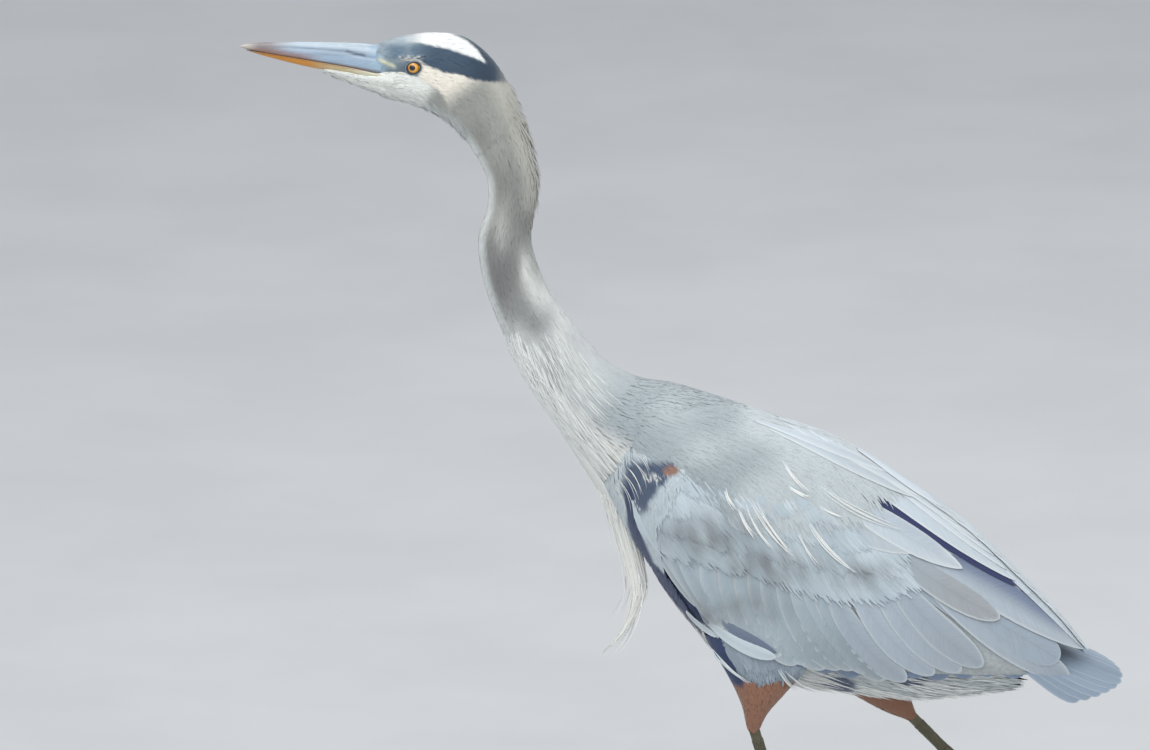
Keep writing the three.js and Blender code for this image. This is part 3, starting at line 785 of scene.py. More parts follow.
def leg_pieces(leg):
    pieces = [form_mesh(Form(leg["thigh"], leg["y"]), 24, 32, 1.8, stop=3.7)]
    pieces.append(form_mesh(leg_form(leg), 90, 24, 0))
    pieces += [form_mesh(toe_form(leg, toe), 60, 16, 0) for toe in TOES]
    return pieces


def make_skin():
    """One closed skin over the head, neck, trunk, wings, thighs, legs and toes."""
    pieces = [form_mesh(BODY, 240, 80, coat_depth), form_mesh(CHIN, 20, 24, 0.8)]
    for leg in LEGS.values():
        pieces += leg_pieces(leg)
    skin = scratch("skin", joined_mesh("skin", pieces))
    bm = bmesh.new()
    bm.from_mesh(skin.data)
    bm.from_mesh(wing_flesh())
    bm.to_mesh(skin.data)
    bm.free()
    remesh = skin.modifiers.new("remesh", "REMESH")
    remesh.mode = "VOXEL"
    remesh.voxel_size = SKIN_VOXEL
    soften = skin.modifiers.new("soften", "SMOOTH")
    soften.factor = 0.5
    soften.iterations = 5
    apply_modifier(skin)
    return skin


def body_place(points):
    """The nearest (t, a) on the body's form for each point, from a coarse grid."""
    rows, columns = 121, 49
    t = np.linspace(0, BODY.last, rows)[:, None]
    a = np.linspace(-np.pi, np.pi, columns)[None]
    grid = BODY.at(t, a).reshape(-1, 3)
    places = np.stack(np.broadcast_arrays(t, a), -1).reshape(-1, 2)
    tree = BVHTree.FromPolygons([Vector(p) for p in grid], grid_faces(rows, columns))
    found = np.empty((len(points), 2))
    for i, point in enumerate(points):
        _, _, face, _ = tree.find_nearest(Vector(point))
        found[i] = places[face // (columns - 1) * columns + face % (columns - 1)]
    return found[:, 0], found[:, 1]


def grid_faces(rows, columns):
    return [
        (r * columns + c, r * columns + c + 1, (r + 1) * columns + c + 1, (r + 1) * columns + c)
        for r in range(rows - 1)
        for c in range(columns - 1)
    ]


def finish_skin(skin, material):
    """Colours the skin with the coat's own markings, darkened as painted shade between the feathers, and adds
    it as the piece for every node of flesh.
    """
    mesh = skin.data
    points = read_points(mesh)
    points[:, 2] = np.maximum(points[:, 2], 0)
    write_points(mesh, points)
    t, a = body_place(points)
    colour = body_colour(points, t, a) * SKIN_GAP_SHADE
    lores = lore_share(points) * smooth(-374, -380, points[:, 0])
    colour = mix(colour, lore_colour(points), lores)
    legs = smooth(262, 246, points[:, 2])
    colour = mix(colour, leg_colour(points), legs)
    colour_points(mesh, colour)
    mesh.polygons.foreach_set("use_smooth", np.ones(len(mesh.polygons), bool))
    mesh.materials.clear()
    mesh.materials.append(material)
    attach(skin, "root")
    kept = ("bill", "eye", "claw")
    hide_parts(*[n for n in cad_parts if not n.startswith(kept)])


def lore_colour(points):
    x, q = points[..., 0], sight(points)
    colour = mix(even(points, LORE), LORE_PALE, smooth(-410, -422, x) * 0.8)
    colour = mix(colour, LORE_DARK, 0.75 * blob(x, q, (-394, 918), (9, 6.5)))
    low = q - along(LORE_LOW, x)
    colour = mix(colour, LORE_DARK, 0.8 * smooth(3.5, 1.0, low) * smooth(-418, -408, x))
    line = along([(-422, 928), (-415, 924.5), (-408, 921.5), (-403, 919.5)], x)
    yellow = np.exp(-(((q - line) / 1.9) ** 2)) * smooth(-424, -418, x) * smooth(-401, -407, x)
    return mix(colour, LORE_YELLOW, 0.95 * yellow)


# ---------- laying feathers ----------

STATIONS = np.array([0.0, 0.35, 0.75, 1.0])
TUFT_WIDTH = np.array([0.7, 1.0, 0.85, 0.14])
TUFT_THICK = np.array([0.6, 1.0, 0.8, 0.3])
TUFT_ROOTED = np.array([1.0, 0.45, 0.12, 0.0])  # how far each station keeps to the root's depth
TUFT_RAISED = np.array([0, 0.2, 0.6, 1.0])  # and to the tip's lift
TUFT_RUFFLED = np.array([0, 0.5, 1, 1])  # and how much of its chance height
TUFT_FADE = np.array([0.9, 0.97, 1.0, 1.03])  # its tone from root to tip
TUFT_DEPTH = 0.07  # a tuft's thickness, as a share of its width
TONE_STATIONS = np.array([0.3, 0.45, 0.7, 0.9])  # where along its length a tuft's stations take their colours
MOST_TUFTS = 9500  # in one piece


def grid_roots(form, start, stop, step, gap, keep=None):
    """Staggered roots (t, a) over a form: rows step millimetres apart, with a root every gap millimetres."""
    t, rows = start, []
    while t < stop:
        ring = form.at(t, np.linspace(0, 2 * np.pi, 49))
        around = np.linalg.norm(np.diff(ring, axis=0), axis=1).sum()
        _, _, _, speed, _ = form.frame(t, np.array([0.0, np.pi / 2, np.pi]))
        count = max(6, int(around / gap))
        a = (np.arange(count) + 0.5 * (len(rows) % 2)) / count * 2 * np.pi
        a = a + rng.normal(0, 0.22, count) * 2 * np.pi / count
        rows.append(np.stack([t + rng.normal(0, 0.25, count) * step / speed.mean(), a], -1))
        t += step / speed.mean()
    roots = np.concatenate(rows)
    t, a = np.clip(roots[:, 0], start, stop), np.mod(roots[:, 1], 2 * np.pi)
    if keep is not None:
        kept = keep(form.at(t, a), t, a)
        t, a = t[kept], a[kept]
    return t, a


def tufts(parts, form, t, a, length, width, lift, depth, colour, spread, turn=0.0, sink=0.7):
    """Lays a tuft at each root.

    turn leans it sideways, as a share of its length, and spread is how much the tufts differ in that. lift
    raises its tip, depth lowers its root and sink lowers the whole tuft.
    """
    n = len(t)
    sizes = (length, width, lift, depth, turn)
    length, width, lift, depth, turn = (np.broadcast_to(v, n).astype(float) for v in sizes)
    length = length * rng.uniform(0.82, 1.15, n)
    width = width * rng.uniform(0.8, 1.2, n)
    lean = turn + rng.normal(0, spread, n)
    _, _, _, speed_t, speed_a = form.frame(t, a)
    speed_a = np.maximum(speed_a, 4.0)
    reach = STATIONS[None] * length[:, None]
    ts = t[:, None] + reach / speed_t[:, None]
    over = np.clip(ts - form.last, 0, None) * speed_t[:, None]
    as_ = a[:, None] + lean[:, None] * reach / speed_a[:, None]
    centre, normal, tangent, _, _ = form.frame(np.minimum(ts, form.last - 0.03), as_)
    centre = centre + tangent * over[..., None]
    height = -depth[:, None] * TUFT_ROOTED + lift[:, None] * TUFT_RAISED
    height = height + rng.uniform(0, 0.12, n)[:, None] * TUFT_RUFFLED - sink
    centre = centre + normal * height[..., None]
    ahead = unit(np.gradient(centre, axis=1))
    across = unit(np.cross(normal, ahead))
    upward = unit(np.cross(ahead, across))
    half = (width[:, None] / 2 * TUFT_WIDTH)[..., None, None]
    base = centre[:, :, None, :] + across[:, :, None, :] * half * TUFT[:, 0][None, None, :, None]
    mark_t = np.minimum(t[:, None] + TONE_STATIONS * (length / speed_t)[:, None], form.last - 0.03)
    mark_a = a[:, None] + (lean * length / speed_a)[:, None] * TONE_STATIONS
    tone = colour(form.at(mark_t, mark_a), mark_t, mark_a) * (1 + rng.normal(0, 0.03, n)[:, None, None])
    colours = tone[:, :, None, :] * TUFT_FADE[None, :, None, None] * np.ones((1, 1, len(TUFT), 1))
    roots = np.stack([np.mod(a / (2 * np.pi), 1), np.clip(t / form.last, 0, 1)], -1)
    thick = width[:, None] * TUFT_DEPTH * TUFT_THICK
    sweep(parts, base, unit(upward * 0.3 + normal), thick, TUFT, STATIONS, colours, roots, bulge=0.1)


def split_coat(name, form, t, a, slot, **style):
    """Lays tufts as one piece or as several, from the bill's end of the form."""
    order = np.argsort(t, kind="stable")
    count = int(np.ceil(len(t) / MOST_TUFTS))
    for i, chunk in enumerate(np.array_split(order, count)):
        parts = Parts()
        pick = {k: v[chunk] if np.shape(v) == t.shape else v for k, v in style.items()}
        tufts(parts, form, t[chunk], a[chunk], **pick)
        show_coat(name if count == 1 else f"{name}_{i + 1}", parts, FEATHER)


# ---------- materials ----------


def new_material(name, roughness, sheen, specular, coat=0.0):
    material = bpy.data.materials.new(name)
    material.use_nodes = True
    tree = material.node_tree
    shader = tree.nodes["Principled BSDF"]
    shader.inputs["Roughness"].default_value = roughness
    shader.inputs["Specular IOR Level"].default_value = specular
    shader.inputs["Sheen Weight"].default_value = sheen
    shader.inputs["Sheen Roughness"].default_value = 0.6
    shader.inputs["Coat Weight"].default_value = coat
    shader.inputs["Coat Roughness"].default_value = 0.08
    return material, tree, shader


def node(tree, kind, **values):
    made = tree.nodes.new(kind)
    for key, value in values.items():
        setattr(made, key, value)
    return made


def attribute(tree, name):
    return node(tree, "ShaderNodeAttribute", attribute_name=name)


def noise(tree, vector, scale, detail=3.0, roughness=0.55):
    made = node(tree, "ShaderNodeTexNoise")
    made.inputs["Scale"].default_value = scale
    made.inputs["Detail"].default_value = detail
    made.inputs["Roughness"].default_value = roughness
    tree.links.new(vector, made.inputs["Vector"])
    return made.outputs["Fac"]


def maths(tree, operation, first, second=0.0, third=None):
    made = node(tree, "ShaderNodeMath", operation=operation)
    for socket, value in zip(made.inputs, (first, second, third)):
        if value is None:
            continue
        if isinstance(value, (int, float)):
            socket.default_value = value
        else:
            tree.links.new(value, socket)
    return made.outputs[0]


def remap(tree, value, low, high, to_low, to_high):
    made = node(tree, "ShaderNodeMapRange", interpolation_type="SMOOTHSTEP")
    tree.links.new(value, made.inputs["Value"])
    for key, number in (("From Min", low), ("From Max", high), ("To Min", to_low), ("To Max", to_high)):
        made.inputs[key].default_value = number
    return made.outputs["Result"]


def shaded(tree, shader, colour, factor):
    """The colour times a factor, into the shader's base colour."""
    scale = node(tree, "ShaderNodeVectorMath", operation="SCALE")
    tree.links.new(colour, scale.inputs[0])
    tree.links.new(factor, scale.inputs["Scale"])
    tree.links.new(scale.outputs[0], shader.inputs["Base Color"])


def bumped(tree, shader, height, distance, strength):
    bump = node(tree, "ShaderNodeBump")
    bump.inputs["Strength"].default_value = strength
    bump.inputs["Distance"].default_value = distance
    tree.links.new(height, bump.inputs["Height"])
    tree.links.new(bump.outputs["Normal"], shader.inputs["Normal"])


def feather_material(name, barbs, roughness=0.72, sheen=0.25):
    """Feathers in their own colours, with barbs that run out at a slant. barbs is how strongly they show."""
    material, tree, shader = new_material(name, roughness, sheen, 0.25)
    quill = node(tree, "ShaderNodeSeparateXYZ")
    tree.links.new(attribute(tree, "quill").outputs["Vector"], quill.inputs[0])
    across, along_, chance = quill.outputs
    side = maths(tree, "ABSOLUTE", across)
    slant = maths(tree, "MULTIPLY_ADD", side, -9.0, maths(tree, "MULTIPLY", along_, 90.0))
    lane = node(tree, "ShaderNodeCombineXYZ")
    tree.links.new(slant, lane.inputs[0])
    tree.links.new(maths(tree, "MULTIPLY", across, 1.2), lane.inputs[1])
    tree.links.new(maths(tree, "MULTIPLY", chance, 40.0), lane.inputs[2])
    grain = noise(tree, lane.outputs[0], 1.0, 2.0, 0.6)
    tone = remap(tree, grain, 0.3, 0.7, 1 - barbs, 1 + barbs * 0.6)
    shaded(tree, shader, attribute(tree, "coat").outputs["Color"], tone)
    bumped(tree, shader, grain, 0.0004, 0.35)
    return material


def skin_material(name, roughness, pore):
    """Skin in the coat's colours with creases and pores. pore is the scale of the pores."""
    material, tree, shader = new_material(name, roughness, 0.0, 0.35)
    spot = node(tree, "ShaderNodeTexCoord").outputs["Object"]
    coarse = noise(tree, spot, pore * 0.25)
    fine = noise(tree, spot, pore, 4.0, 0.65)
    height = maths(tree, "MULTIPLY_ADD", fine, 0.6, coarse)
    shaded(tree, shader, attribute(tree, "coat").outputs["Color"], remap(tree, height, 0.5, 1.1, 0.82, 1.12))
    bumped(tree, shader, height, 0.0006, 0.5)
    return material


def horn_material(name, roughness, streak, coat):
    """Horn and eyes: fine streaks over the mesh's own colours, under a clear coat."""
    material, tree, shader = new_material(name, roughness, 0.0, 0.45, coat)
    stretch = node(tree, "ShaderNodeMapping")
    stretch.inputs["Scale"].default_value = (0.12, 1, 1)
    tree.links.new(node(tree, "ShaderNodeTexCoord").outputs["Object"], stretch.inputs["Vector"])
    grain = noise(tree, stretch.outputs[0], 900.0, 3.0, 0.6)
    cloud = noise(tree, stretch.outputs[0], 160.0, 3.0, 0.6)
    tone = maths(tree, "MULTIPLY", remap(tree, grain, 0.3, 0.7, 1 - streak, 1 + streak * 0.5),
                 remap(tree, cloud, 0.3, 0.7, 1 - streak, 1 + streak * 0.6))
    shaded(tree, shader, attribute(tree, "coat").outputs["Color"], tone)
    bumped(tree, shader, grain, 0.0002, 0.4)
    return material


# ---------- bill, eyes and claws ----------


GROOVE = [(-520, 940.6), (-470, 938.6), (-452, 936.8), (-433, 932.2), (-424, 931)]


def bill_relief(points, a):
    """The nostril's groove and slit, and the ridge along the top of the upper bill."""
    x, z = points[..., 0], points[..., 2]
    facing = np.abs(np.sin(a))
    groove = along(GROOVE, x)
    reach = smooth(-530, -500, x) * smooth(-419, -424, x)
    points[..., 1] -= np.sign(points[..., 1]) * facing * 1.0 * np.exp(-(((z - groove) / 1.3) ** 2)) * reach
    slit = np.exp(-(((z - groove) / 0.7) ** 2)) * smooth(-454, -450, x) * smooth(-432, -436, x)
    points[..., 1] -= np.sign(points[..., 1]) * facing * 1.5 * slit
    return points


def bill_upper_colour(points):
    x, z = points[..., 0], points[..., 2]
    top = along([(-559, 941.6), (-530, 945), (-490, 945.2), (-447, 944.3), (-418, 943)], x)
    edge = along([(-559, 940.6), (-530, 934.6), (-490, 928.4), (-447, 921.3), (-418, 916)], x)
    level = (z - edge) / (top - edge)
    colour = even(points, linear(150, 170, 190))
    # The upper part of the upper bill is painted lighter: a painted highlight along its ridge.
    colour = mix(colour, linear(186, 202, 214), smooth(0.55, 0.95, level))
    colour = mix(colour, linear(136, 128, 130), smooth(-500, -535, x))
    colour = mix(colour, linear(146, 104, 92), smooth(-470, -505, x) * smooth(0.55, 0.1, level) * 0.75)
    colour = mix(colour, linear(186, 180, 172), smooth(-538, -556, x))
    colour = mix(colour, LORE_PALE, smooth(-434, -421, x))
    groove = along(GROOVE, x)
    # The nostril's slit is painted near black, as painted shade in its opening.
    slit = np.exp(-(((z - groove) / 1.0) ** 2)) * smooth(-456, -450, x) * smooth(-431, -436, x)
    colour = mix(colour, linear(40, 46, 60), 0.9 * slit)
    line = np.exp(-(((z - groove) / 1.1) ** 2)) * smooth(-520, -480, x)
    colour = mix(colour, linear(96, 112, 134), 0.6 * line)
    return mix(colour, linear(104, 84, 74), smooth(0.14, 0.02, level) * 0.7)


def bill_lower_colour(points):
    x, z = points[..., 0], points[..., 2]
    top = along([(-552, 937.6), (-530, 934.2), (-490, 928), (-447, 920.9), (-418, 915.6)], x)
    colour = even(points, linear(206, 138, 48))
    colour = mix(colour, linear(206, 184, 142), smooth(-496, -462, x))
    colour = mix(colour, linear(226, 220, 196), smooth(-462, -432, x))
    colour = mix(colour, linear(176, 158, 138), smooth(-536, -550, x) * 0.8)
    return mix(colour, linear(122, 84, 50), smooth(2.2, 0.3, top - z) * 0.65 * smooth(-425, -440, x))


def make_bill(material):
    for name, rows, relief, tint in (
        ("bill_upper", BILL_UPPER_ROWS, bill_relief, bill_upper_colour),
        ("bill_lower", BILL_LOWER_ROWS, None, bill_lower_colour),
    ):
        mesh = joined_mesh(name, [form_mesh(Form(rows, relief=relief), 220, 56, 0)])
        show_solid(name, mesh, tint(read_points(mesh)), material, [name])


IRIS = 5.9
PUPIL = 2.9
PUPIL_AHEAD, PUPIL_UP = 1.4, 0.5


def make_eyes(material):
    """Balls that look sideways and a little forward, with the iris and pupil as rings of colour."""
    for name, side in SIDES.items():
        rings, sides = 90, 96
        angle = np.concatenate([[0.002], np.linspace(0.03, np.pi - 0.002, rings - 1)])[:, None]
        round_ = np.linspace(0, 2 * np.pi, sides, endpoint=False)[None]
        axis = np.array([0.0, side, 0.0])
        ahead = unit(np.cross([0, 0, 1.0], axis))
        flat = EYE_RADIUS * np.sin(angle)
        bulge = 0.7 * np.exp(-((angle / 0.55) ** 2))
        points = (
            EYE * [1, side, 1]
            + (axis * (EYE_RADIUS * np.cos(angle) + bulge)[..., None])
            + ahead * (flat * np.cos(round_))[..., None]
            + np.array([0, 0, 1.0]) * (flat * np.sin(round_))[..., None]
        ).reshape(-1, 3)
        spread = (flat + 0 * round_).reshape(-1)
        turn = (round_ + 0 * flat).reshape(-1)
        colour = even(points, linear(222, 150, 36))
        fibre = wave(turn * 31 + spread, turn * 53 - spread * 2, turn * 17 + spread * 3)
        colour = colour * (1 + 0.14 * fibre[:, None])
        colour = mix(colour, linear(236, 184, 70), smooth(4.2, 3.1, spread) * 0.6)
        colour = mix(colour, linear(150, 84, 26), smooth(4.9, 5.8, spread))
        colour = mix(colour, linear(24, 20, 20), smooth(IRIS - 0.25, IRIS + 0.1, spread))
        from_pupil = np.hypot(spread * np.cos(turn) * ahead[0] + PUPIL_AHEAD,
                              spread * np.sin(turn) - PUPIL_UP)
        colour = mix(colour, linear(10, 10, 12), smooth(PUPIL + 0.15, PUPIL - 0.15, from_pupil))
        back = np.repeat(angle[:, 0] > np.pi / 2, sides)
        colour[back] = linear(24, 20, 20)
        mesh = joined_mesh(name, [tube_mesh(points, rings, sides)])
        show_solid(f"eye_{name}", mesh, colour, material, [f"eye_{name}"])


CLAW_CLEARANCE = 0.05  # over the floor


def claw_form(leg, toe):
    """A curved claw from the toe's end, its point just off the floor."""
    _, length, radius, _ = TOES[toe]
    root = radius * 0.66
    shape = [(-3, root, 0.7), (0, root * 1.1, 0.95), (3, root * 1.18, 0.85), (6.5, root, 0.6),
             (9.6, root * 0.62, 0.32), (12, 0.7, 0.08)]
    path = [(leg["foot"][0] - length - s, z) for s, z, _ in shape]
    return limb_form(path, [(root * r, root * r * 0.8) for _, _, r in shape], leg["y"], turned(leg, toe))


def make_claws(material):
    for side, leg in LEGS.items():
        for toe in TOES:
            mesh = joined_mesh("claw", [form_mesh(claw_form(leg, toe), 40, 20, 0)])
            points = read_points(mesh)
            lowered = np.maximum(points[:, 2], CLAW_CLEARANCE)
            write_points(mesh, np.column_stack([points[:, :2], lowered]))
            colour = mix(even(points, HORN), HORN * 2.2, smooth(1.5, 4, points[:, 2]) * 0.5)
            name = f"claw_{side}_{toe}"
            show_solid(name, mesh, colour, material, [name])


# ---------- lids ----------


LID_HEAVY = math.radians(225)  # the lids are heaviest below the eye's front
LID_POINTS, LID_SIDES = 72, 12


def make_lids(material, head):
    """A ring of bare skin round each eye, heavier above, with a finer fold outside it."""
    for name, side in SIDES.items():
        pieces, tones = [], []
        for radius, thick, rise, tone in ((6.35, 0.5, 0.35, LORE_DARK * 0.45), (7.6, 0.34, -0.05, LORE)):
            turn = np.linspace(0, 2 * np.pi, LID_POINTS + 1)[:-1]
            along_x = np.cos(turn) * (radius + 0.5 * np.cos(turn) ** 2)
            along_z = np.sin(turn) * radius * np.where(np.sin(turn) > 0, 0.9, 0.94) + 0.12 * along_x
            spine = np.empty((LID_POINTS, 3))
            for i, (dx, dz) in enumerate(zip(along_x, along_z)):
                x, z = EYE[0] + dx, EYE[2] + dz
                hit, _, _, _ = head.ray_cast(Vector((x, side * 60, z)), Vector((0, -side, 0)))
                spine[i] = (x, (hit.y if hit else side * 19) + side * rise, z)
            ahead = unit(np.roll(spine, -1, 0) - np.roll(spine, 1, 0))
            out = np.array([0, side, 0.0])
            away = unit(np.cross(ahead, out))
            heavy = np.clip(np.cos(turn - LID_HEAVY), 0, 1) ** 2
            size = thick * (1 + 0.3 * np.clip(np.sin(turn), 0, 1) + 0.9 * heavy)
            angle = np.linspace(0, 2 * np.pi, LID_SIDES, endpoint=False)
            points = spine[:, None] + size[:, None, None] * (
                away[:, None] * np.cos(angle)[None, :, None] * 1.25 + out * np.sin(angle)[None, :, None]
            )
            ring = np.arange(LID_SIDES)
            after, level = (ring + 1) % LID_SIDES, np.arange(LID_POINTS)[:, None] * LID_SIDES
            next_level = np.roll(level, -1, 0)
            quads = np.stack([level + ring, level + after, next_level + after, next_level + ring], -1)
            points = points.reshape(-1, 3)
            pieces.append((points, quads.reshape(-1, 4).tolist()))
            tones.append(even(points, tone))
        mesh = joined_mesh(f"lids_{name}", pieces)
        show_solid(f"lids_{name}", mesh, np.concatenate(tones), material)


# ---------- the scene ----------


VIEW_HEIGHT = 602  # of the bird in the middle of the picture
VIEW_ALONG = -0.225  # of the middle of the picture from the bird's own origin, in metres
LENS, DISTANCE = 600, 19.17  # a long lens, in millimetres, from far off, in metres
SIDE_REACH = 60.0  # of the floor, in metres


def make_scene():
    scene = bpy.context.scene
    scene.view_settings.view_transform = "Standard"
    target = Vector(place([0, 0, VIEW_HEIGHT])) + Vector((VIEW_ALONG, 0, 0))
    data = bpy.data.cameras.new("camera")
    data.lens = LENS
    data.sensor_width = 36
    data.clip_start, data.clip_end = 0.5, 400
    camera = bpy.data.objects.new("camera", data)
    back = Vector((0, -math.cos(SIGHT), math.sin(SIGHT)))
    camera.location = target + back * DISTANCE
    camera.rotation_euler = back.to_track_quat("Z", "Y").to_euler()
    scene.collection.objects.link(camera)
    scene.camera = camera

    floor_mesh = bpy.data.meshes.new("floor")
    corners = [(SIDE_REACH * x, SIDE_REACH * y, 0) for x, y in ((-1, -1), (1, -1), (1, 1), (-1, 1))]
    floor_mesh.from_pydata(corners, [], [(0, 1, 2, 3)])
    floor = bpy.data.objects.new("floor", floor_mesh)
    scene.collection.objects.link(floor)
    material, tree, shader = new_material("floor", 0.9, 0.0, 0.1)
    spot = node(tree, "ShaderNodeTexCoord").outputs["Object"]
    grain = remap(tree, noise(tree, spot, 3.0), 0.3, 0.7, 0.97, 1.03)
    scale = node(tree, "ShaderNodeVectorMath", operation="SCALE")
    scale.inputs[0].default_value = (0.60, 0.61, 0.62)
    tree.links.new(grain, scale.inputs["Scale"])
    tree.links.new(scale.outputs[0], shader.inputs["Base Color"])
    floor_mesh.materials.append(material)

    world = bpy.data.worlds.new("world")
    world.use_nodes = True
    sky = world.node_tree.nodes["Background"]
    sky.inputs["Color"].default_value = (0.93, 0.96, 1.0, 1)
    sky.inputs["Strength"].default_value = 0.70
    scene.world = world
    for name, energy, size, offset, colour in (
        ("key", 50, 2.2, (-0.7, -1.7, 2.4), (1.0, 0.98, 0.94)),
        ("fill", 14, 2.4, (1.8, -2.0, 1.2), (0.95, 0.98, 1.0)),
        ("rear", 22, 2.2, (0.8, 2.0, 2.2), (0.97, 0.98, 1.0)),
    ):
        light = bpy.data.lights.new(name, "AREA")
        light.energy, light.size, light.color = energy, size, colour
        lamp = bpy.data.objects.new(name, light)
        lamp.location = target + Vector(offset)
        lamp.rotation_euler = Vector(offset).to_track_quat("Z", "Y").to_euler()
        scene.collection.objects.link(lamp)


# ---------- long feathers on the wing ----------

VANE = np.array([
    (1, 0), (0.93, 0.3), (0.8, 0.55), (0.45, 0.85), (0.05, 1), (0, 1.25), (-0.05, 1), (-0.45, 0.85),
    (-0.8, 0.55), (-0.93, 0.3), (-1, 0), (-0.6, -0.4), (0, -0.5), (0.6, -0.4),
])
VANE_STATIONS = np.array([0, 0.08, 0.16, 0.24, 0.32, 0.4, 0.48, 0.56, 0.64, 0.73, 0.82, 0.89, 0.94, 0.97,
                          0.985, 0.995, 1.0])
TIP_STATIONS = np.array([0, 0.1, 0.22, 0.36, 0.5, 0.62, 0.73, 0.82, 0.89, 0.94, 0.97, 0.985, 0.995, 1.0])
ROUND_TIP = np.interp(VANE_STATIONS, TIP_STATIONS,
                      [0.35, 0.52, 0.68, 0.82, 0.92, 0.98, 1.0, 0.98, 0.9, 0.77, 0.6, 0.45, 0.28, 0.1])
LONG_TIP = np.interp(VANE_STATIONS, TIP_STATIONS,
                     [0.4, 0.6, 0.78, 0.92, 1.0, 0.98, 0.88, 0.72, 0.54, 0.37, 0.24, 0.15, 0.08, 0.03])
BLUNT_TIP = np.interp(VANE_STATIONS, TIP_STATIONS,
                      [0.35, 0.52, 0.68, 0.82, 0.93, 1.0, 0.98, 0.9, 0.76, 0.58, 0.41, 0.28, 0.16, 0.06])


class Sheet:
    """A dense surface on which long feathers are laid, with the places on its form for the bake map."""

    def __init__(self, points, places):
        rows, self.columns = points.shape[:2]
        self.points, self.places = points.reshape(-1, 3), places.reshape(-1, 2)
        self.tree = BVHTree.FromPolygons([Vector(p) for p in self.points], grid_faces(rows, self.columns))
        normals = unit(np.cross(np.gradient(points, axis=0), np.gradient(points, axis=1)))
        away = unit(points - points.mean(1, keepdims=True) * [1, 0, 1])
        outward = (normals * away).sum() + 0.3 * normals[..., 2].sum() > 0
        self.normals = (normals if outward else -normals).reshape(-1, 3)

    def near(self, points):
        """Nearest points, normals and map places for an array of points."""
        flat = points.reshape(-1, 3)
        found, face = np.empty(flat.shape), np.empty(len(flat), int)
        for i, point in enumerate(flat):
            found[i], _, face[i], _ = self.tree.find_nearest(Vector(point))
        corner = face // (self.columns - 1) * self.columns + face % (self.columns - 1)
        down, right = self.columns, 1
        offset = found - self.points[corner]
        shares = []
        for step in (down, right):
            edge = self.points[corner + step] - self.points[corner]
            share = (offset * edge).sum(-1) / np.maximum((edge**2).sum(-1), 1e-9)
            shares.append(np.clip(share, 0, 1)[:, None])
        v, u = shares
        upper = self.normals[corner] * (1 - u) + self.normals[corner + right] * u
        lower = self.normals[corner + down] * (1 - u) + self.normals[corner + down + right] * u
        normals = unit(upper * (1 - v) + lower * v)
        places = self.places[corner].reshape(points.shape[:-1] + (2,))
        return found.reshape(points.shape), normals.reshape(points.shape), places

    def from_side(self, x, q, side):
        """The points on this surface that are seen at (x, q) by a viewer on that side, above by SIGHT."""
        found = np.empty(x.shape + (3,))
        for i in np.ndindex(x.shape):
            start = Vector((x[i], side * 300, q[i] + 300 * SLOPE))
            hit, _, _, _ = self.tree.ray_cast(start, Vector((0, -side, -SLOPE)))
            if hit is None:
                hit, _, _, _ = self.tree.find_nearest(Vector((x[i], side * 20, q[i] + 20 * SLOPE)))
            found[i] = hit
        return found


def form_sheet(at, last_t, rows, columns, a_from=0.0, a_to=2 * np.pi):
    """The sheet of a form, or of a function of the same kind."""
    t = np.linspace(0, last_t, rows)[:, None]
    a = np.linspace(a_from, a_to, columns)[None]
    return Sheet(at(t, a), np.stack(np.broadcast_arrays(t / last_t, a / (2 * np.pi)), -1))


def blurred(grid, times):
    for _ in range(times):
        padded = np.pad(grid, 1, mode="edge")
        middle, above, below = padded[1:-1, 1:-1], padded[:-2, 1:-1], padded[2:, 1:-1]
        grid = (middle * 2 + above + below + padded[1:-1, :-2] + padded[1:-1, 2:]) / 6
    return grid


def draped_sheet(side):
    """The wing's outer face on one side, carried on downwards over the thigh that it hides."""
    leg = LEGS["left" if side < 0 else "right"]
    thigh = form_sheet(Form(leg["thigh"], leg["y"]).at, 4.0, 60, 60)
    step = 4.0
    x, z = np.meshgrid(np.arange(-190, 300, step), np.arange(600, 262, -step))
    reach = np.zeros(x.shape)
    for i in np.ndindex(x.shape):
        for sheet, gap in ((WING_SHEET, 0.0), (thigh, THIGH_GAP)):
            hit, _, _, _ = sheet.tree.ray_cast(Vector((x[i], side * 300, z[i])), Vector((0, -side, 0)))
            if hit is not None:
                reach[i] = max(reach[i], abs(hit.y) + gap)
    for _ in range(4):
        for row in range(1, len(reach)):
            reach[row] = np.maximum(reach[row], reach[row - 1] - step * DRAPE_SLOPE)
        reach = np.rot90(reach)
    fine = blurred(reach, 6)
    broad = blurred(fine, 30)
    reach = fine + (broad - fine) * smooth(395, 345, z)
    points = np.stack([x, side * reach, z], -1)
    _, _, places = WING_SHEET.near(points)
    return Sheet(points, places)


def stretch(line, count):
    """count points spread evenly along a list of points."""
    return spline(line, np.linspace(0, len(line) - 1, count))


AXIS_POINTS = 12  # in a feather's centre line


def side_axes(sheet, root, tip, bow, side, k=AXIS_POINTS):
    """Centre lines of feathers given by roots and tips in side view. bow bends them, as a share of length."""
    v = np.linspace(0, 1, k)[None, :, None]
    chord = (tip - root)[:, None]
    bend = np.stack([chord[..., 1], -chord[..., 0]], -1) * np.asarray(bow).reshape(-1, 1, 1)
    line = root[:, None] + chord * v + bend * 4 * v * (1 - v)
    return sheet.from_side(line[..., 0], line[..., 1], side)


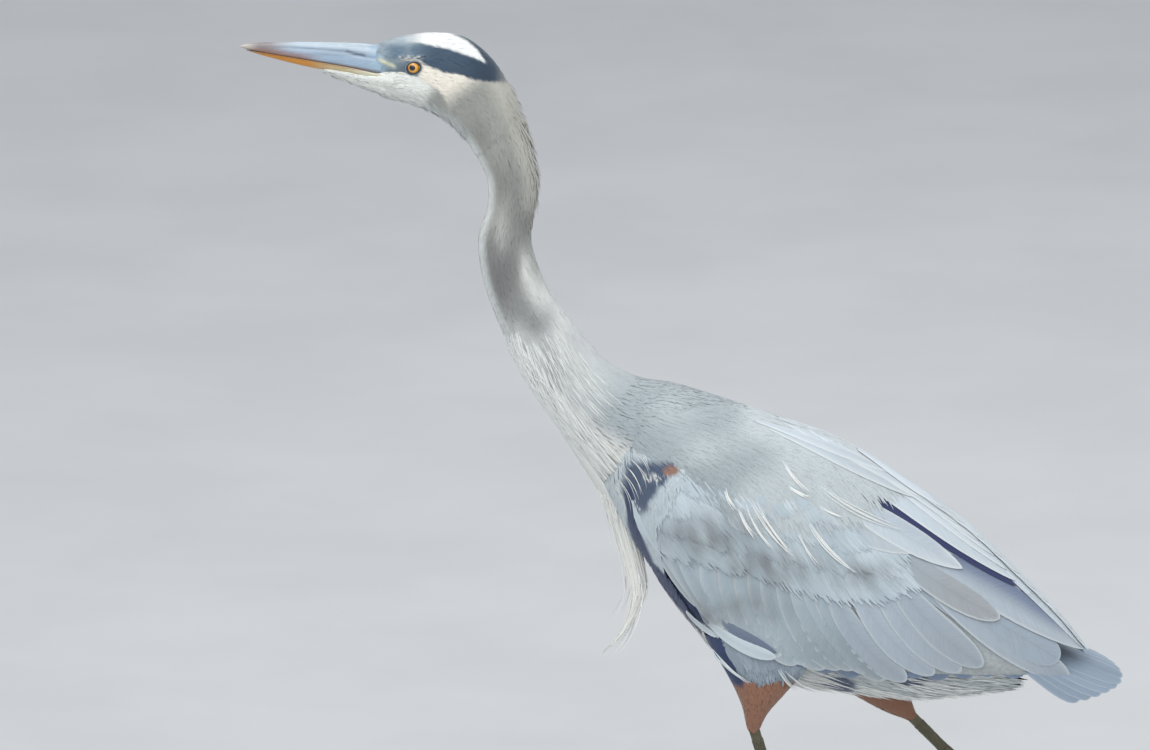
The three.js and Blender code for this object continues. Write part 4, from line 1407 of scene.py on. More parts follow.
# Where the wing's feathers are browner, as centre (x, q), radii and strength.
BROWN_PLACES = [
    ((-100, 434), (42, 18), 1.1), ((-30, 404), (45, 19), 1.1), ((62, 396), (36, 16), 0.9),
    ((-62, 450), (34, 14), 0.7), ((10, 445), (40, 14), 0.4), ((-95, 352), (26, 16), 0.9),
    ((-45, 362), (40, 18), 0.8), ((-62, 421), (20, 10), 0.6),
]


def browned(points, colour):
    """The colour with the wing's brown places mixed in, broken up from feather to feather."""
    x, q = points[..., 0], sight(points)
    broken = 0.75 + 0.5 * wave(x * 0.21 + q * 0.13, x * 0.09 - q * 0.17, x * 0.37 + q * 0.05)
    for place_, radii, strength in BROWN_PLACES:
        colour = mix(colour, WING_BROWN, np.clip(strength * broken * blob(x, q, place_, radii), 0, 1))
    return colour


def lay_vanes(parts, sheet, axes, width, low, high, tint, outline=ROUND_TIP, thick=0.5, tilt=0.42):
    """Long feathers along their centre lines, from height low at the root to high at the tip over the sheet.

    tint(u, v, edge, n) gives their colours, where u runs across the feather from head to tail and v along it,
    and edge is the distance in millimetres from its rim. tilt raises the edge nearer the head.
    """
    n, k, p = len(axes), len(VANE_STATIONS), len(VANE)
    width, low, high = (np.broadcast_to(v, n).astype(float) for v in (width, low, high))
    steps = VANE_STATIONS * (axes.shape[1] - 1)
    centre = spline(axes.transpose(1, 0, 2), steps).transpose(1, 0, 2)
    _, normal, places = sheet.near(centre)
    ahead = unit(np.gradient(centre, axis=1))
    across = unit(np.cross(normal, ahead))
    half = width[:, None] / 2 * outline[None]
    lanes = np.unique(VANE[:, 0])
    flat = centre[:, :, None] + across[:, :, None] * (half[:, :, None] * lanes)[..., None]
    base, normals, _ = sheet.near(flat)
    forward = np.sign(-across[:, :1, 0])[:, :, None]
    height = (low[:, None] + (high - low)[:, None] * VANE_STATIONS)[..., None] + tilt * lanes * forward
    base = base + normals * height[..., None]
    where = np.searchsorted(lanes, VANE[:, 0])
    length = np.linalg.norm(np.diff(centre, axis=1), axis=2).sum(1)
    u = -VANE[None, None, :, 0] * forward * np.ones((n, k, 1))
    v = VANE_STATIONS[None, :, None] * np.ones((n, 1, p))
    rim = np.minimum((1 - np.abs(u)) * half[..., None], (1 - v) * length[:, None, None] * 0.7)
    base = base[:, :, where]
    colours = browned(base, tint(u, v, rim, n))
    thickness = thick * np.clip(outline, 0.25, 1) * np.ones((n, 1))
    sweep(parts, base, unit(normals.mean(2)), thickness, VANE, VANE_STATIONS, colours, places[:, 0, ::-1],
          VANE_PATCH, bulge=0.12)


FRAY_STATIONS = np.array([0, 0.25, 0.5, 0.72, 0.88, 1.0])
FRAY_SPREAD = np.array([0.4, 0.72, 0.92, 1.0, 1.0, 0.96])
FRAY_TAPER = np.array([0.8, 1.0, 1.0, 0.95, 0.8, 0.34])
FRAY_POINT = 0.22  # how far the outer barbs fall short of the middle ones


def travel(axes, v):
    """The points at shares v along each feather's centre line; v has the feathers first."""
    steps = v * (axes.shape[1] - 1)
    i = np.minimum(steps.astype(int), axes.shape[1] - 2)
    feather = np.arange(len(axes)).reshape((-1,) + (1,) * (v.ndim - 1))
    return axes[feather, i] + (axes[feather, i + 1] - axes[feather, i]) * (steps - i)[..., None]


def lay_frayed(parts, sheet, axes, width, low, high, tint, barbs=14, fray=0.14):
    """Soft feathers, each made of barbs, narrow strips side by side, whose ends differ by the share fray."""
    n, k = len(axes), len(FRAY_STATIONS)
    width, low, high = (np.broadcast_to(v, n).astype(float) for v in (width, low, high))
    lane = np.linspace(-1, 1, barbs)
    stop = 1 - FRAY_POINT * np.abs(lane) ** 2 - rng.uniform(0, fray, (n, barbs))
    v = FRAY_STATIONS * stop[..., None]
    centre = travel(axes, v)
    _, normal, places = sheet.near(centre)
    across = unit(np.cross(normal, unit(np.gradient(centre, axis=2))))
    drift = rng.normal(0, 0.05, (n, barbs, 1)) * FRAY_STATIONS**2
    side = (lane[:, None] * FRAY_SPREAD + drift) * (width / 2)[:, None, None]
    strip, normal, _ = sheet.near(centre + across * side[..., None])
    dome = 0.35 * (1 - lane**2)[:, None] + rng.uniform(0, 0.25, (n, barbs, 1)) * FRAY_STATIONS
    height = low[:, None, None] + (high - low)[:, None, None] * v + dome
    strip = strip + normal * height[..., None]
    across = unit(np.cross(normal, unit(np.gradient(strip, axis=2))))
    half = (width / (barbs - 1))[:, None, None] * 0.85 * FRAY_TAPER * np.ones((1, barbs, 1))
    base = strip[:, :, :, None] + across[:, :, :, None] * (half[..., None] * TUFT[:, 0])[..., None]
    length = np.linalg.norm(np.diff(axes, axis=1), axis=2).sum(1)
    from_side = (1 - np.abs(lane))[:, None] * (width / 2)[:, None, None]
    rim = np.minimum(from_side, (1 - v) * length[:, None, None] * 0.7)
    tone = browned(strip, tint(lane[:, None] + 0 * v, v, rim, n)) * (1 + rng.normal(0, 0.03, (n, barbs, 1, 1)))

    def flat(values):
        return values.reshape((n * barbs, k) + values.shape[3:])

    roots = places[:, :, 0, ::-1].reshape(-1, 2)
    sweep(parts, flat(base), flat(normal), flat(half * 0.22), TUFT, FRAY_STATIONS, flat(tone)[:, :, None],
          roots, FRAY_PATCH, bulge=0.2)


SHAFT_SHADE = 0.12  # how dark a feather's shaft is


def plain_tint(base, fringe, fringe_width, fringe_share, wash=None, wash_share=0.0):
    """Feather colours: a base tone, a dark shaft, a rim of another tone, and a wash towards the tip."""

    def tint(u, v, rim, n):
        tone = 1 + rng.normal(0, 0.045, (n, 1, 1))
        colour = np.zeros(u.shape + (3,)) + base
        if wash is not None:
            share = wash_share * rng.uniform(0.4, 1.0, (n, 1, 1)) * smooth(0.25, 0.8, v)
            colour = mix(colour, wash, share * np.ones(u.shape))
        colour = colour * tone[..., None]
        colour = colour * (1 - SHAFT_SHADE * np.exp(-((u / 0.05) ** 2)))[..., None]
        return mix(colour, fringe, fringe_share * smooth(fringe_width, fringe_width * 0.3, rim))

    return tint


def shaded_rear(tint, shade, share):
    """Feather colours with painted shade over the half away from the head, which ends before the tip."""

    def shaded_tint(u, v, rim, n):
        return mix(tint(u, v, rim, n), shade, share * smooth(-0.4, 0.7, u) * smooth(0.96, 0.78, v))

    return shaded_tint


def feather_row(parts, sheet, side, tips, roots, count, width, low, high, tint, bow, jitter=2.0,
                lay=lay_vanes, **style):
    """A row of overlapping feathers between a line of roots and a line of tips, from the head's end."""
    tip, root = stretch(tips, count), stretch(roots, count)
    tip = tip + rng.normal(0, jitter, tip.shape)
    root = root + rng.normal(0, jitter * 0.6, root.shape)
    share = np.linspace(0, 1, count)
    width, bow = (np.interp(share, np.linspace(0, 1, np.size(v)), np.atleast_1d(v)) for v in (width, bow))
    axes = side_axes(sheet, root, tip, bow + rng.normal(0, 0.01, count), side)
    rise = np.linspace(0, 0.4, count)
    lay(parts, sheet, axes, width * rng.uniform(0.93, 1.07, count), low + rise, high + rise, tint, **style)


GREATER = linear(175, 191, 200)
SECONDARY = linear(118, 134, 158)
TERTIAL = linear(172, 184, 195)
TERTIAL_BROWN = linear(158, 157, 157)
SCAPULAR = linear(197, 208, 216)
FRINGE = linear(216, 222, 222)
COVERT = linear(178, 193, 202)
COVERT_PALE = linear(207, 219, 226)


def smudged(base, other, share):
    """Feather colours that drift between two tones from feather to feather."""

    def tint(u, v, rim, n):
        drift = share * rng.uniform(0, 1, (n, 1, 1)) * np.ones(u.shape)
        colour = mix(np.zeros(u.shape + (3,)) + base, other, drift)
        return colour * (1 + rng.normal(0, 0.03, (n, 1, 1)))[..., None]

    return tint


def long_feathers(parts, side, feathers, tint, sheet=None, **style):
    """Single feathers of the wing, each (root, tip, width, bow, low, high), with root and tip sighted."""
    root, tip, width, bow, low, high = (np.array(values, float) for values in zip(*feathers))
    sheet = sheet or WING_SHEET
    lay_vanes(parts, sheet, side_axes(sheet, root, tip, bow, side, 14), width, low, high, tint, **style)


# The wing's big feathers: (root, tip, width, bow, height over the wing's form at the root, and at the tip).
DARK_PANEL = [
    ((60, 482), (226, 372), 26, 0, -3.5, -3.0),
    ((80, 462), (262, 336), 30, 0, -3.7, -3.2),
    ((60, 432), (262, 306), 44, 0, -3.9, -3.4),
]
# A dark blue vane under the bundle's lower edge: partly the navy bases of feathers there, partly painted
# shadow in the gap.
SLIT_SHADOW_VANE = [((15, 521), (217.5, 384), 29, -0.02, -2.4, -1.1)]
TERTIALS = [
    ((30, 382), (107, 283), 31, 0.085, -3.3, -2.1),
    ((52, 388), (135, 290), 31, 0.075, -3.2, -2.0),
    ((72, 396), (162, 293), 32, 0.065, -3.1, -1.9),
    ((84, 408), (184, 299), 34, 0.06, -3.0, -1.8),
    ((112, 408), (272, 286), 35, 0.04, -3.3, -2.2),
]
LONG_TERTIAL = [((106, 428), (287, 318), 38, -0.02, -2.9, -1.7)]
SHORT_TERTIAL = [((62, 448), (201, 350), 31, 0.035, -2.6, -1.5)]
# A slate vane laid over the rows where a shadowed gap shows between them: painted shadow.
FRONT_SHADOW_VANE = [((-82, 349), (-23, 313.5), 13, 0.04, -2.6, -1.8)]
FRONT_PALE = [((-92, 345), (-24, 309), 14, 0.07, -2.5, -1.2), ((-116, 356), (-82, 329), 6, 0.05, -4.6, -4.2)]
LOWER_SCAPULARS = [
    ((4, 478), (132, 423), 33, 0.06, -1.9, -1.0),
    ((18, 492), (163, 402), 30, 0.01, -1.5, -0.7),
]
BUNDLE = [
    ((20, 528), (217, 389), 31, -0.02, -1.9, -0.5),
    ((40, 530), (208, 400), 22, -0.02, -1.6, -0.3),
    ((50, 530), (196, 414), 20, -0.02, -1.3, -0.2),
    ((20, 544), (180, 430), 20, -0.02, -1.1, -0.1),
    ((0, 552), (160, 447), 20, -0.02, -0.9, 0.0),
    ((-20, 556), (136, 468), 20, -0.02, -0.8, 0.0),
    ((-30, 548), (112, 476), 20, -0.02, -0.8, 0.0),
    ((-44, 556), (92, 500), 20, -0.02, -0.7, 0.0),
]


# The wing's soft feathers, row over row: (tone, other tone, share), barbs, count, widths, height over the
# form at the root and at the tip, bows, line of tips, line of roots.
BROWNER, PALER = (COVERT, COVERT_PALE, 0.8), (COVERT_PALE, COVERT, 0.9)
COVERT_ROWS = [
    (BROWNER, 16, 22, (24, 28, 30), -2.8, -2.1, (0.10, 0.12, 0.08),
     [(-124, 408), (-96, 402), (-66, 397), (-30, 390), (6, 376), (46, 367), (92, 364), (122, 376)],
     [(-160, 486), (-130, 470), (-100, 462), (-66, 460), (-26, 452), (14, 440), (50, 434), (76, 440)]),
    (BROWNER, 16, 22, (22, 26, 28), -2.4, -1.7, (0.08, 0.10, 0.06),
     [(-136, 434), (-108, 426), (-76, 418), (-40, 412), (0, 402), (40, 394), (84, 392), (114, 400)],
     [(-164, 508), (-136, 490), (-106, 480), (-70, 474), (-30, 468), (10, 458), (46, 452), (74, 456)]),
    (PALER, 14, 22, (20, 22, 24), -2.1, -1.4, (0.06, 0.08, 0.04),
     [(-138, 458), (-110, 450), (-78, 443), (-42, 436), (-4, 428), (34, 420), (74, 418)],
     [(-160, 520), (-134, 506), (-104, 496), (-70, 490), (-32, 484), (6, 476), (40, 470)]),
    (PALER, 14, 20, (18, 20, 22), -1.8, -1.0, (0.05, 0.06, 0.03),
     [(-136, 482), (-108, 472), (-76, 464), (-40, 457), (0, 450), (36, 442)],
     [(-152, 534), (-126, 522), (-98, 510), (-64, 504), (-26, 498), (8, 490)]),
]

# Painted shade beside the slit, on the feathers below it and on a ridge panel.
SHADE_LAVENDER = linear(104, 118, 146)
THIGH_GAP = 7.5  # from the thigh out to the sheet of the wing's feathers that hang over it
DRAPE_SLOPE = 0.55  # how fast the wing's feathers may close in under the wing, for each millimetre down


def wing_feathers(side):
    """The folded wing's long feathers, from the deepest up."""
    sheet = DRAPED[side]
    deep, rows, soft, upper = Parts(), Parts(), Parts(), Parts()
    panel = plain_tint(linear(164, 177, 189), FRINGE, 1.5, 0.3)
    long_feathers(deep, side, DARK_PANEL, panel, tilt=0.0)
    feather_row(deep, sheet, side, [(-62, 323), (-20, 308), (40, 294), (100, 287), (160, 286), (222, 286)],
                [(-120, 400), (-80, 390), (-10, 375), (50, 370), (100, 375), (140, 385)], 14, 30, -5.6, -5.0,
                plain_tint(SECONDARY, linear(158, 172, 188), 1.5, 0.5), 0.05, tilt=0.2)
    greater = plain_tint(GREATER, FRINGE, 3.4, 0.5, WING_BROWN, 0.5)
    long_feathers(rows, side, FRONT_SHADOW_VANE, plain_tint(linear(104, 117, 138), FRINGE, 1.5, 0.0), sheet,
                  outline=LONG_TIP, tilt=0.0)
    long_feathers(rows, side, FRONT_PALE, plain_tint(linear(190, 203, 210), FRINGE, 2.0, 0.4), sheet,
                  outline=BLUNT_TIP, tilt=0.1)
    feather_row(rows, sheet, side, [(-99, 361), (-88, 351), (-70, 343)],
                [(-164, 476), (-150, 452), (-128, 436)], 5, (16, 24), -4.0, -3.2, greater, 0.07)
    feather_row(rows, sheet, side,
                [(-50, 331), (-28, 316), (0, 303.5), (20, 298), (43, 295), (66, 292), (88, 287)],
                [(-110, 430), (-84, 426), (-60, 424), (-40, 422), (-20, 418), (0, 410), (14, 402)],
                10, (28, 29, 31), -3.9, -2.6, greater, (0.13, 0.15, 0.15, 0.12, 0.09))
    tertial = plain_tint(TERTIAL, FRINGE, 3.0, 0.45, TERTIAL_BROWN, 0.15)
    long_feathers(rows, side, TERTIALS, tertial, sheet, outline=BLUNT_TIP)

    for tones, barbs, count, width, low, high, bow, tips, roots in COVERT_ROWS:
        feather_row(soft, sheet, side, tips, roots, count, width, low, high, smudged(*tones), bow, 4.0,
                    lay_frayed, barbs=barbs)

    long_tertial = plain_tint(linear(170, 181, 190), FRINGE, 2.4, 0.5, TERTIAL_BROWN, 0.2)
    long_feathers(upper, side, LONG_TERTIAL, shaded_rear(long_tertial, SHADE_LAVENDER, 0.9), outline=LONG_TIP)
    short_tertial = plain_tint(linear(168, 178, 186), FRINGE, 2.4, 0.6, TERTIAL_BROWN, 0.5)
    long_feathers(upper, side, SHORT_TERTIAL, short_tertial, outline=BLUNT_TIP)
    long_feathers(upper, side, SLIT_SHADOW_VANE, plain_tint(SLIT_NAVY_AND_SHADOW, SLIT_NAVY_AND_SHADOW, 1, 0), outline=LONG_TIP, tilt=0.0)
    pale = plain_tint(SCAPULAR, linear(228, 232, 230), 3.0, 0.5, TERTIAL_BROWN, 0.2)
    long_feathers(upper, side, LOWER_SCAPULARS, shaded_rear(pale, SHADE_LAVENDER, 0.2), outline=LONG_TIP)
    long_feathers(upper, side, BUNDLE, pale, outline=LONG_TIP)
    for name, parts in (("deep", deep), ("rows", rows), ("soft", soft), ("upper", upper)):
        show_coat(f"wing_{'left' if side < 0 else 'right'}_{name}", parts, VANES)


# Broad feathers under the ridge's own: starts along the wing, angle from the top, heights, tone.
RIDGE_PANELS = [
    # This panel is tinted with painted shade.
    ((5.6, 6.2, 6.6), 0.36, -3.6, -3.2, SHADE_LAVENDER),
    ((4.2, 4.8, 5.4, 6.0), 0.19, -1.6, -1.2, SCAPULAR),
]


def ridge_feathers():
    """Long feathers down the middle of the back, where the two wings meet."""
    parts = Parts()
    count = 22
    t = np.repeat(np.linspace(4.2, 7.7, count // 2), 2)[:, None]
    side = np.where(np.arange(count) % 2, -1, 1)[:, None]
    v = np.linspace(0, 1, AXIS_POINTS)
    axes = WING.at(t + np.minimum(1.35, WING.last - 0.05 - t) * v, side * (0.02 + 0.10 * v))
    rise = np.linspace(0, 0.5, count)[::-1]
    pale = plain_tint(SCAPULAR, linear(228, 232, 230), 3.0, 0.4, TERTIAL_BROWN, 0.2)
    lay_vanes(parts, WING_SHEET, axes, np.linspace(22, 13, count), -0.7 + rise, 0.6 + rise, pale, LONG_TIP)
    for starts, turn, low, high, tone in RIDGE_PANELS:
        t = np.repeat(starts, 2)[:, None]
        side = np.tile([-1, 1], len(starts))[:, None]
        axes = WING.at(t + (WING.last - 0.1 - t) * v, side * turn)
        tint = plain_tint(tone, FRINGE, 1.5, 0.2)
        lay_vanes(parts, WING_SHEET, axes, 24, low, high, tint, LONG_TIP, tilt=0.0)
    show_coat("back_ridge", parts, VANES)


# ---------- the tail ----------

TAIL_ROOT, TAIL_TIP = np.array([150, 354.0]), np.array([324, 285.0])
TAIL_HALF_ROOT, TAIL_HALF_TIP = 15, 37
TAIL_ROLL, TAIL_DROOP = 0.55, 10


def tail_point(t, a):
    """The tail's fan: t runs from its root to its end, a across it from -1 to 1, drooping and rolled."""
    t, a = np.broadcast_arrays(np.asarray(t, float), a)
    along_ = unit(TAIL_TIP - TAIL_ROOT)
    up = np.array([-along_[1], along_[0]])
    grown = np.sin(np.clip(t, 0, 1) * np.pi / 2)
    half = TAIL_HALF_ROOT + (TAIL_HALF_TIP - TAIL_HALF_ROOT) * np.sqrt(grown)
    bend = (TAIL_ROLL * a * half - TAIL_DROOP * a**2) * grown
    xz = TAIL_ROOT + (TAIL_TIP - TAIL_ROOT) * t[..., None] + up * bend[..., None]
    return np.stack([xz[..., 0], a * half, xz[..., 1]], -1)


def tail_feathers():
    """Twelve tail feathers, the middle pair on top."""
    sheet = form_sheet(lambda t, a: tail_point(t * 1.1, a * 1.3), 1.0, 60, 60, -1.0, 1.0)
    parts = Parts()
    t = np.linspace(0.1, 1, AXIS_POINTS)[None]
    rank = np.array([5, 4, 3, 2, 1, 0])
    for side in (-1, 1):
        ends = (0.1 + 0.165 * rank) * side
        reach = 1.0 - 0.017 * rank**1.5
        axes = tail_point(t * reach[:, None], ends[:, None] * (0.35 + 0.65 * t))
        tint = plain_tint(linear(140, 156, 172), linear(176, 188, 198), 1.4, 0.5, linear(120, 134, 154), 0.3)
        low = 1.6 - 0.55 * rank
        lay_vanes(parts, sheet, axes, 21 + rank * 1.3, low, low + 0.2, tint, thick=0.6, tilt=0.0)
    show_coat("tail_feathers", parts, VANES)


# ---------- plumes and wisps ----------

STRAND_STATIONS = np.linspace(0, 1, 14)
PLUME_ROOT = 1.2  # how deep a plume is rooted


def strands(parts, axes, width, thick, tone, root_tone, places):
    """Narrow tapering plumes along their centre lines, whose colour starts at root_tone."""
    n = len(axes)
    k = len(STRAND_STATIONS)
    centre = spline(axes.transpose(1, 0, 2), STRAND_STATIONS * (axes.shape[1] - 1)).transpose(1, 0, 2)
    ahead = unit(np.gradient(centre, axis=1))
    facing = np.stack([np.zeros((n, k)), np.sign(centre[..., 1] + 1e-6), np.full((n, k), 0.25)], -1)
    across = unit(np.cross(facing, ahead))
    normal = unit(np.cross(ahead, across))
    taper = np.clip(np.minimum(0.5 + STRAND_STATIONS * 3, (1.02 - STRAND_STATIONS) * 2.6), 0.05, 1)
    half = np.broadcast_to(width, n)[:, None] / 2 * taper
    base = centre[:, :, None] + across[:, :, None] * (half[..., None] * STRAND[:, 0])[..., None]
    tone = np.broadcast_to(tone, (n, 3))[:, None, None] * np.ones((1, k, len(STRAND), 1))
    tone = mix(tone, root_tone, smooth(0.45, 0.0, STRAND_STATIONS)[None, :, None])
    thickness = np.broadcast_to(thick, n)[:, None] * taper
    sweep(parts, base, normal, thickness, STRAND, STRAND_STATIONS, tone, places)


def surface_axes(form, t, a, length, rise, turn):
    """Centre lines that follow a form from roots at (t, a) and rise to a height over it at their ends."""
    share = np.linspace(0, 1, 10)
    length, rise, turn = (np.broadcast_to(v, len(t))[:, None] for v in (length, rise, turn))
    _, _, _, speed_t, speed_a = form.frame(t, a)
    ts = t[:, None] + share * length / speed_t[:, None]
    over = np.clip(ts - form.last + 0.02, 0, None) * speed_t[:, None]
    ts, as_ = np.minimum(ts, form.last - 0.02), a[:, None] + turn * share * length / speed_a[:, None]
    _, _, ahead, _, _ = form.frame(ts, as_)
    grow = -PLUME_ROOT + (rise + PLUME_ROOT) * share**1.5
    return form.at(ts, as_, grow) + ahead * over[..., None]


def surface_strands(name, form, t, a, length, rise, width, tone, root_tone, turn=0.0):
    """Fine loose plumes over a form."""
    n = len(t)
    axes = surface_axes(form, t, a, length * rng.uniform(0.75, 1.2, n), rise * rng.uniform(0.3, 1.2, n),
                        turn + rng.normal(0, 0.08, n))
    places = np.stack([np.mod(a / (2 * np.pi), 1), np.clip(t / form.last, 0, 1)], -1)
    parts = Parts()
    widths = width * rng.uniform(0.7, 1.2, n)
    strands(parts, axes, widths, 0.3, tone * rng.uniform(0.92, 1.05, (n, 1)), root_tone, places)
    show_coat(name, parts, FEATHER)


PLUME_ROWS = [
    (-148, 500, -204, 490, 25, 0),
    (-159, 452, -189.5, 450, 14, 0),
    (-153, 414, -178, 414, 9, 0),
    (-149, 388, -169, 381, 6, 0),
    (-154, 369, -170, 361, 4.2, 0),
    (-163, 351, -175.5, 341, 2.8, 0),
    (-176, 331, -187, 323, 1.7, 0),
    (-196.5, 312.5, -199, 311, 0.6, 0),
]


def breast_plumes():
    """Long pale plumes down the lower neck and breast that hang free and gather to a lock."""
    lock = Form(PLUME_ROWS)
    count = 820
    a = rng.uniform(-1.25, 1.25, count)
    t = rng.uniform(13.2, 15.6, count)
    t[rng.random(count) < 0.4] += 0.6
    root = BODY.at(t, np.pi + a, -1.6)
    middle = BODY.at(t + 0.9, np.pi + a * 0.88, 0.2)
    stop = np.where(rng.random(count) < 0.3, rng.uniform(4.6, 7.0, count), rng.uniform(0.4, 5.0, count))
    rows = np.linspace(0.02, 1, 9) * stop[:, None]
    share = np.sqrt(rng.uniform(0.05, 1, count))[:, None, None]
    core = (lock.at(rows, 0.0) + lock.at(rows, np.pi)) / 2
    free = core + (lock.at(rows, np.pi + a[:, None] * 1.9) - core) * share
    axes = np.concatenate([root[:, None], middle[:, None], free], 1)
    bend = np.linspace(0, 1, axes.shape[1])[None, :, None] ** 2
    stray = np.where(rng.random(count) < 0.04, 7.0, 1.0)[:, None, None]
    axes = axes + rng.normal(0, 1, (count, 1, 3)) * stray * bend * np.array([1, 0.8, 0.35])
    tone = PLUME * rng.uniform(0.88, 1.05, count)[:, None]
    parts = Parts()
    places = np.stack([np.mod(a / 7, 1), t / 24], -1)
    strands(parts, axes, rng.uniform(0.9, 1.8, count), 0.3, tone, linear(240, 243, 242), places)
    show_coat("breast_plumes", parts, FEATHER)


def loose_plumes():
    """White hairs at the base of the neck, a thin fringe down the nape, and wisps under the tail."""
    n = 340
    side = np.where(rng.random(n) < 0.5, -1, 1)
    t, a = rng.uniform(13.3, 15.2, n), np.pi / 2 * side + rng.uniform(-0.8, 0.8, n) * side
    surface_strands("neck_plumes", BODY, t, a, 42.0, 1.6, 0.75, linear(234, 237, 236), NECK_LOW, 0.10 * side)
    n = 200
    t, a = rng.uniform(5.6, 9.4, n), rng.normal(0, 0.28, n)
    surface_strands("nape_fringe", BODY, t, a, 22.0, 4.0, 0.6, linear(190, 190, 186), NECK_GREY)
    n = 620
    t, a = rng.uniform(19.4, 23.6, n), np.pi + rng.uniform(-1.3, 1.3, n)
    surface_strands("tail_wisps", BODY, t, a, 46.0, 5.0, 1.3, linear(242, 244, 242), SNOW)


# Narrow plumes on the wings, as (root, tip) in side view.
SCAPULAR_PLUMES = [
    ((-52, 480), (-5, 412)), ((-44, 474), (-8, 418)), ((4, 456), (56, 397)), ((-2, 440), (19, 405)),
    ((14, 492), (102, 441)), ((-14, 489), (10, 475)), ((-18, 515), (9, 480)), ((-56, 472), (-29, 424)),
    ((-63, 466), (-45, 434)), ((-76, 484), (-64, 463)), ((20, 466), (42, 455)),
]
THIGH_PLUMES = [
    ((-88, 316), (-50, 281)), ((-84, 311), (-54, 283)), ((-22, 296), (-2, 274)), ((-14, 294), (8, 276)),
]
BREAST_WISPS = [
    ((-164, 523), (-148, 500)), ((-169, 515), (-152, 488)), ((-173, 507), (-158, 480)),
    ((-178, 501), (-163, 474)), ((-183, 494), (-168, 460)), ((-187, 487), (-172, 452)),
]


def side_strands(name, pairs, width, tone, root_tone, bow, repeat, scatter, lift=1.4, sheets=None):
    """Narrow plumes on both wings, from their roots to their tips, each drawn a number of times."""
    parts = Parts()
    for side in (-1, 1):
        root, tip = np.repeat(np.array(pairs, float), repeat, 0).transpose(1, 0, 2)
        root = root + rng.normal(0, scatter, root.shape)
        tip = tip + rng.normal(0, scatter * 1.3, tip.shape)
        n = len(root)
        sheet = sheets[side] if sheets else WING_SHEET
        axes = side_axes(sheet, root, tip, bow + rng.normal(0, 0.015, n), side)
        _, normals, places = sheet.near(axes)
        height = np.linspace(-PLUME_ROOT, lift, AXIS_POINTS)[None, :, None] + rng.uniform(0, 0.5, (n, 1, 1))
        axes = axes + normals * height
        widths = width * rng.uniform(0.8, 1.15, n)
        tones = tone * rng.uniform(0.9, 1.06, n)[:, None]
        strands(parts, axes, widths, 0.4, tones, root_tone, places[:, 0, ::-1])
    show_coat(name, parts, FEATHER)


# ---------- the coats ----------


def facing_side(a):
    return np.sign(np.sin(a))


def near_eye(points):
    return np.hypot(points[..., 0] - EYE[0], points[..., 2] - EYE[2]) < 7.7


def head_coat():
    def keep(points, t, a):
        return (lore_share(points) < 0.4) & ~near_eye(points)

    t, a = grid_roots(BODY, 0.1, 6.4, 2.2, 1.25, keep)
    top = np.cos(a) > 0.3
    under = smooth(0.55, 0.9, -np.cos(a)) * smooth(5.5, 4.5, t)
    length = 4.6 + 1.3 * t + 3.5 * under
    lift = 0.05 + 0.03 * t + 3.2 * under * rng.random(len(t)) ** 3
    lift[top] = 0.05
    split_coat("coat_head", BODY, t, a, "plumage_head", length=length, width=1.35 + 0.10 * t, lift=lift,
               depth=root_depth(t, 0.4), sink=0.4, colour=body_colour, spread=0.12)


# The outline of the chin's feathers, which puff out to the lower bill's edge.
CHIN_COAT_ROWS = [
    (-480, 920, -480, 915.6, 4.5, 0.6),
    (-456, 917, -456, 905.4, 8.8, 0.75),
    (-434, 913.4, -434, 897, 11.8, 0.75),
    (-410, 914, -410, 889, 14.2, 0.6),
]


def chin_coat():
    form = Form(CHIN_COAT_ROWS)
    t, a = grid_roots(form, 0.0, 3.0, 1.7, 1.0, lambda p, t, a: np.cos(a) < 0.9)
    ragged = rng.random(len(t)) ** 2 * smooth(0.2, -0.4, np.cos(a))
    split_coat("coat_chin", form, t, a, "plumage_head", length=6 + 3 * ragged, width=1.3,
               lift=0.1 + 2.2 * ragged, depth=1.2, sink=0.3, colour=lambda p, *_: even(p, CHEEK), spread=0.12)


def neck_coat():
    t, a = grid_roots(BODY, 6.1, 15.3, 4.0, 1.3)
    rear = smooth(0.75, 0.97, np.cos(a)) * smooth(6.2, 6.8, t) * smooth(10.5, 9, t)
    lift = 0.05 + 3.0 * rear * rng.random(len(t)) ** 3
    length = 14 + 1.3 * (t - 6) + 4 * rear
    split_coat("coat_neck", BODY, t, a, "plumage_neck", length=length, width=1.7 + 0.07 * (t - 6), lift=lift,
               depth=root_depth(t, 0.6), sink=0.6, colour=body_colour, spread=0.10)


def inside_outline(x, z, outline):
    """True for points within a side-view outline."""
    inside = np.zeros(x.shape, bool)
    for (x0, z0), (x1, z1) in zip(outline, outline[1:] + outline[:1]):
        if z0 == z1:
            continue
        crossing = (z0 > z) != (z1 > z)
        inside ^= crossing & (x < x0 + (z - z0) * (x1 - x0) / (z1 - z0))
    return inside


def trunk_coat():
    def keep(points, t, a):
        hidden = inside_outline(points[:, 0] - 12, points[:, 2] + 6, WING_FLESH)
        covered = (points[:, 0] > -70) & (np.cos(a) > -0.2) & (t < 22.5)
        return ~(covered | (hidden & (np.cos(a - np.pi) < 0.75)))

    t, a = grid_roots(BODY, 14.8, 23.9, 5.0, 2.1, keep)
    below = smooth(0.3, 0.8, np.cos(a - np.pi))
    rear = smooth(21.5, 23.5, t)
    length = 19 + 5 * below + 16 * rear
    lift = 0.1 + 0.9 * below * rng.random(len(t)) ** 2 + 2.5 * rear * rng.random(len(t))
    split_coat("coat_trunk", BODY, t, a, "plumage_body", length=length, width=2.6 + 0.6 * rear, lift=lift,
               depth=1.2, colour=body_colour, spread=0.14)


MANTLE_LOW = [
    (-178, 524), (-150, 519), (-124, 510), (-100, 496), (-60, 486), (-20, 478), (20, 488), (60, 506),
    (90, 518),
]


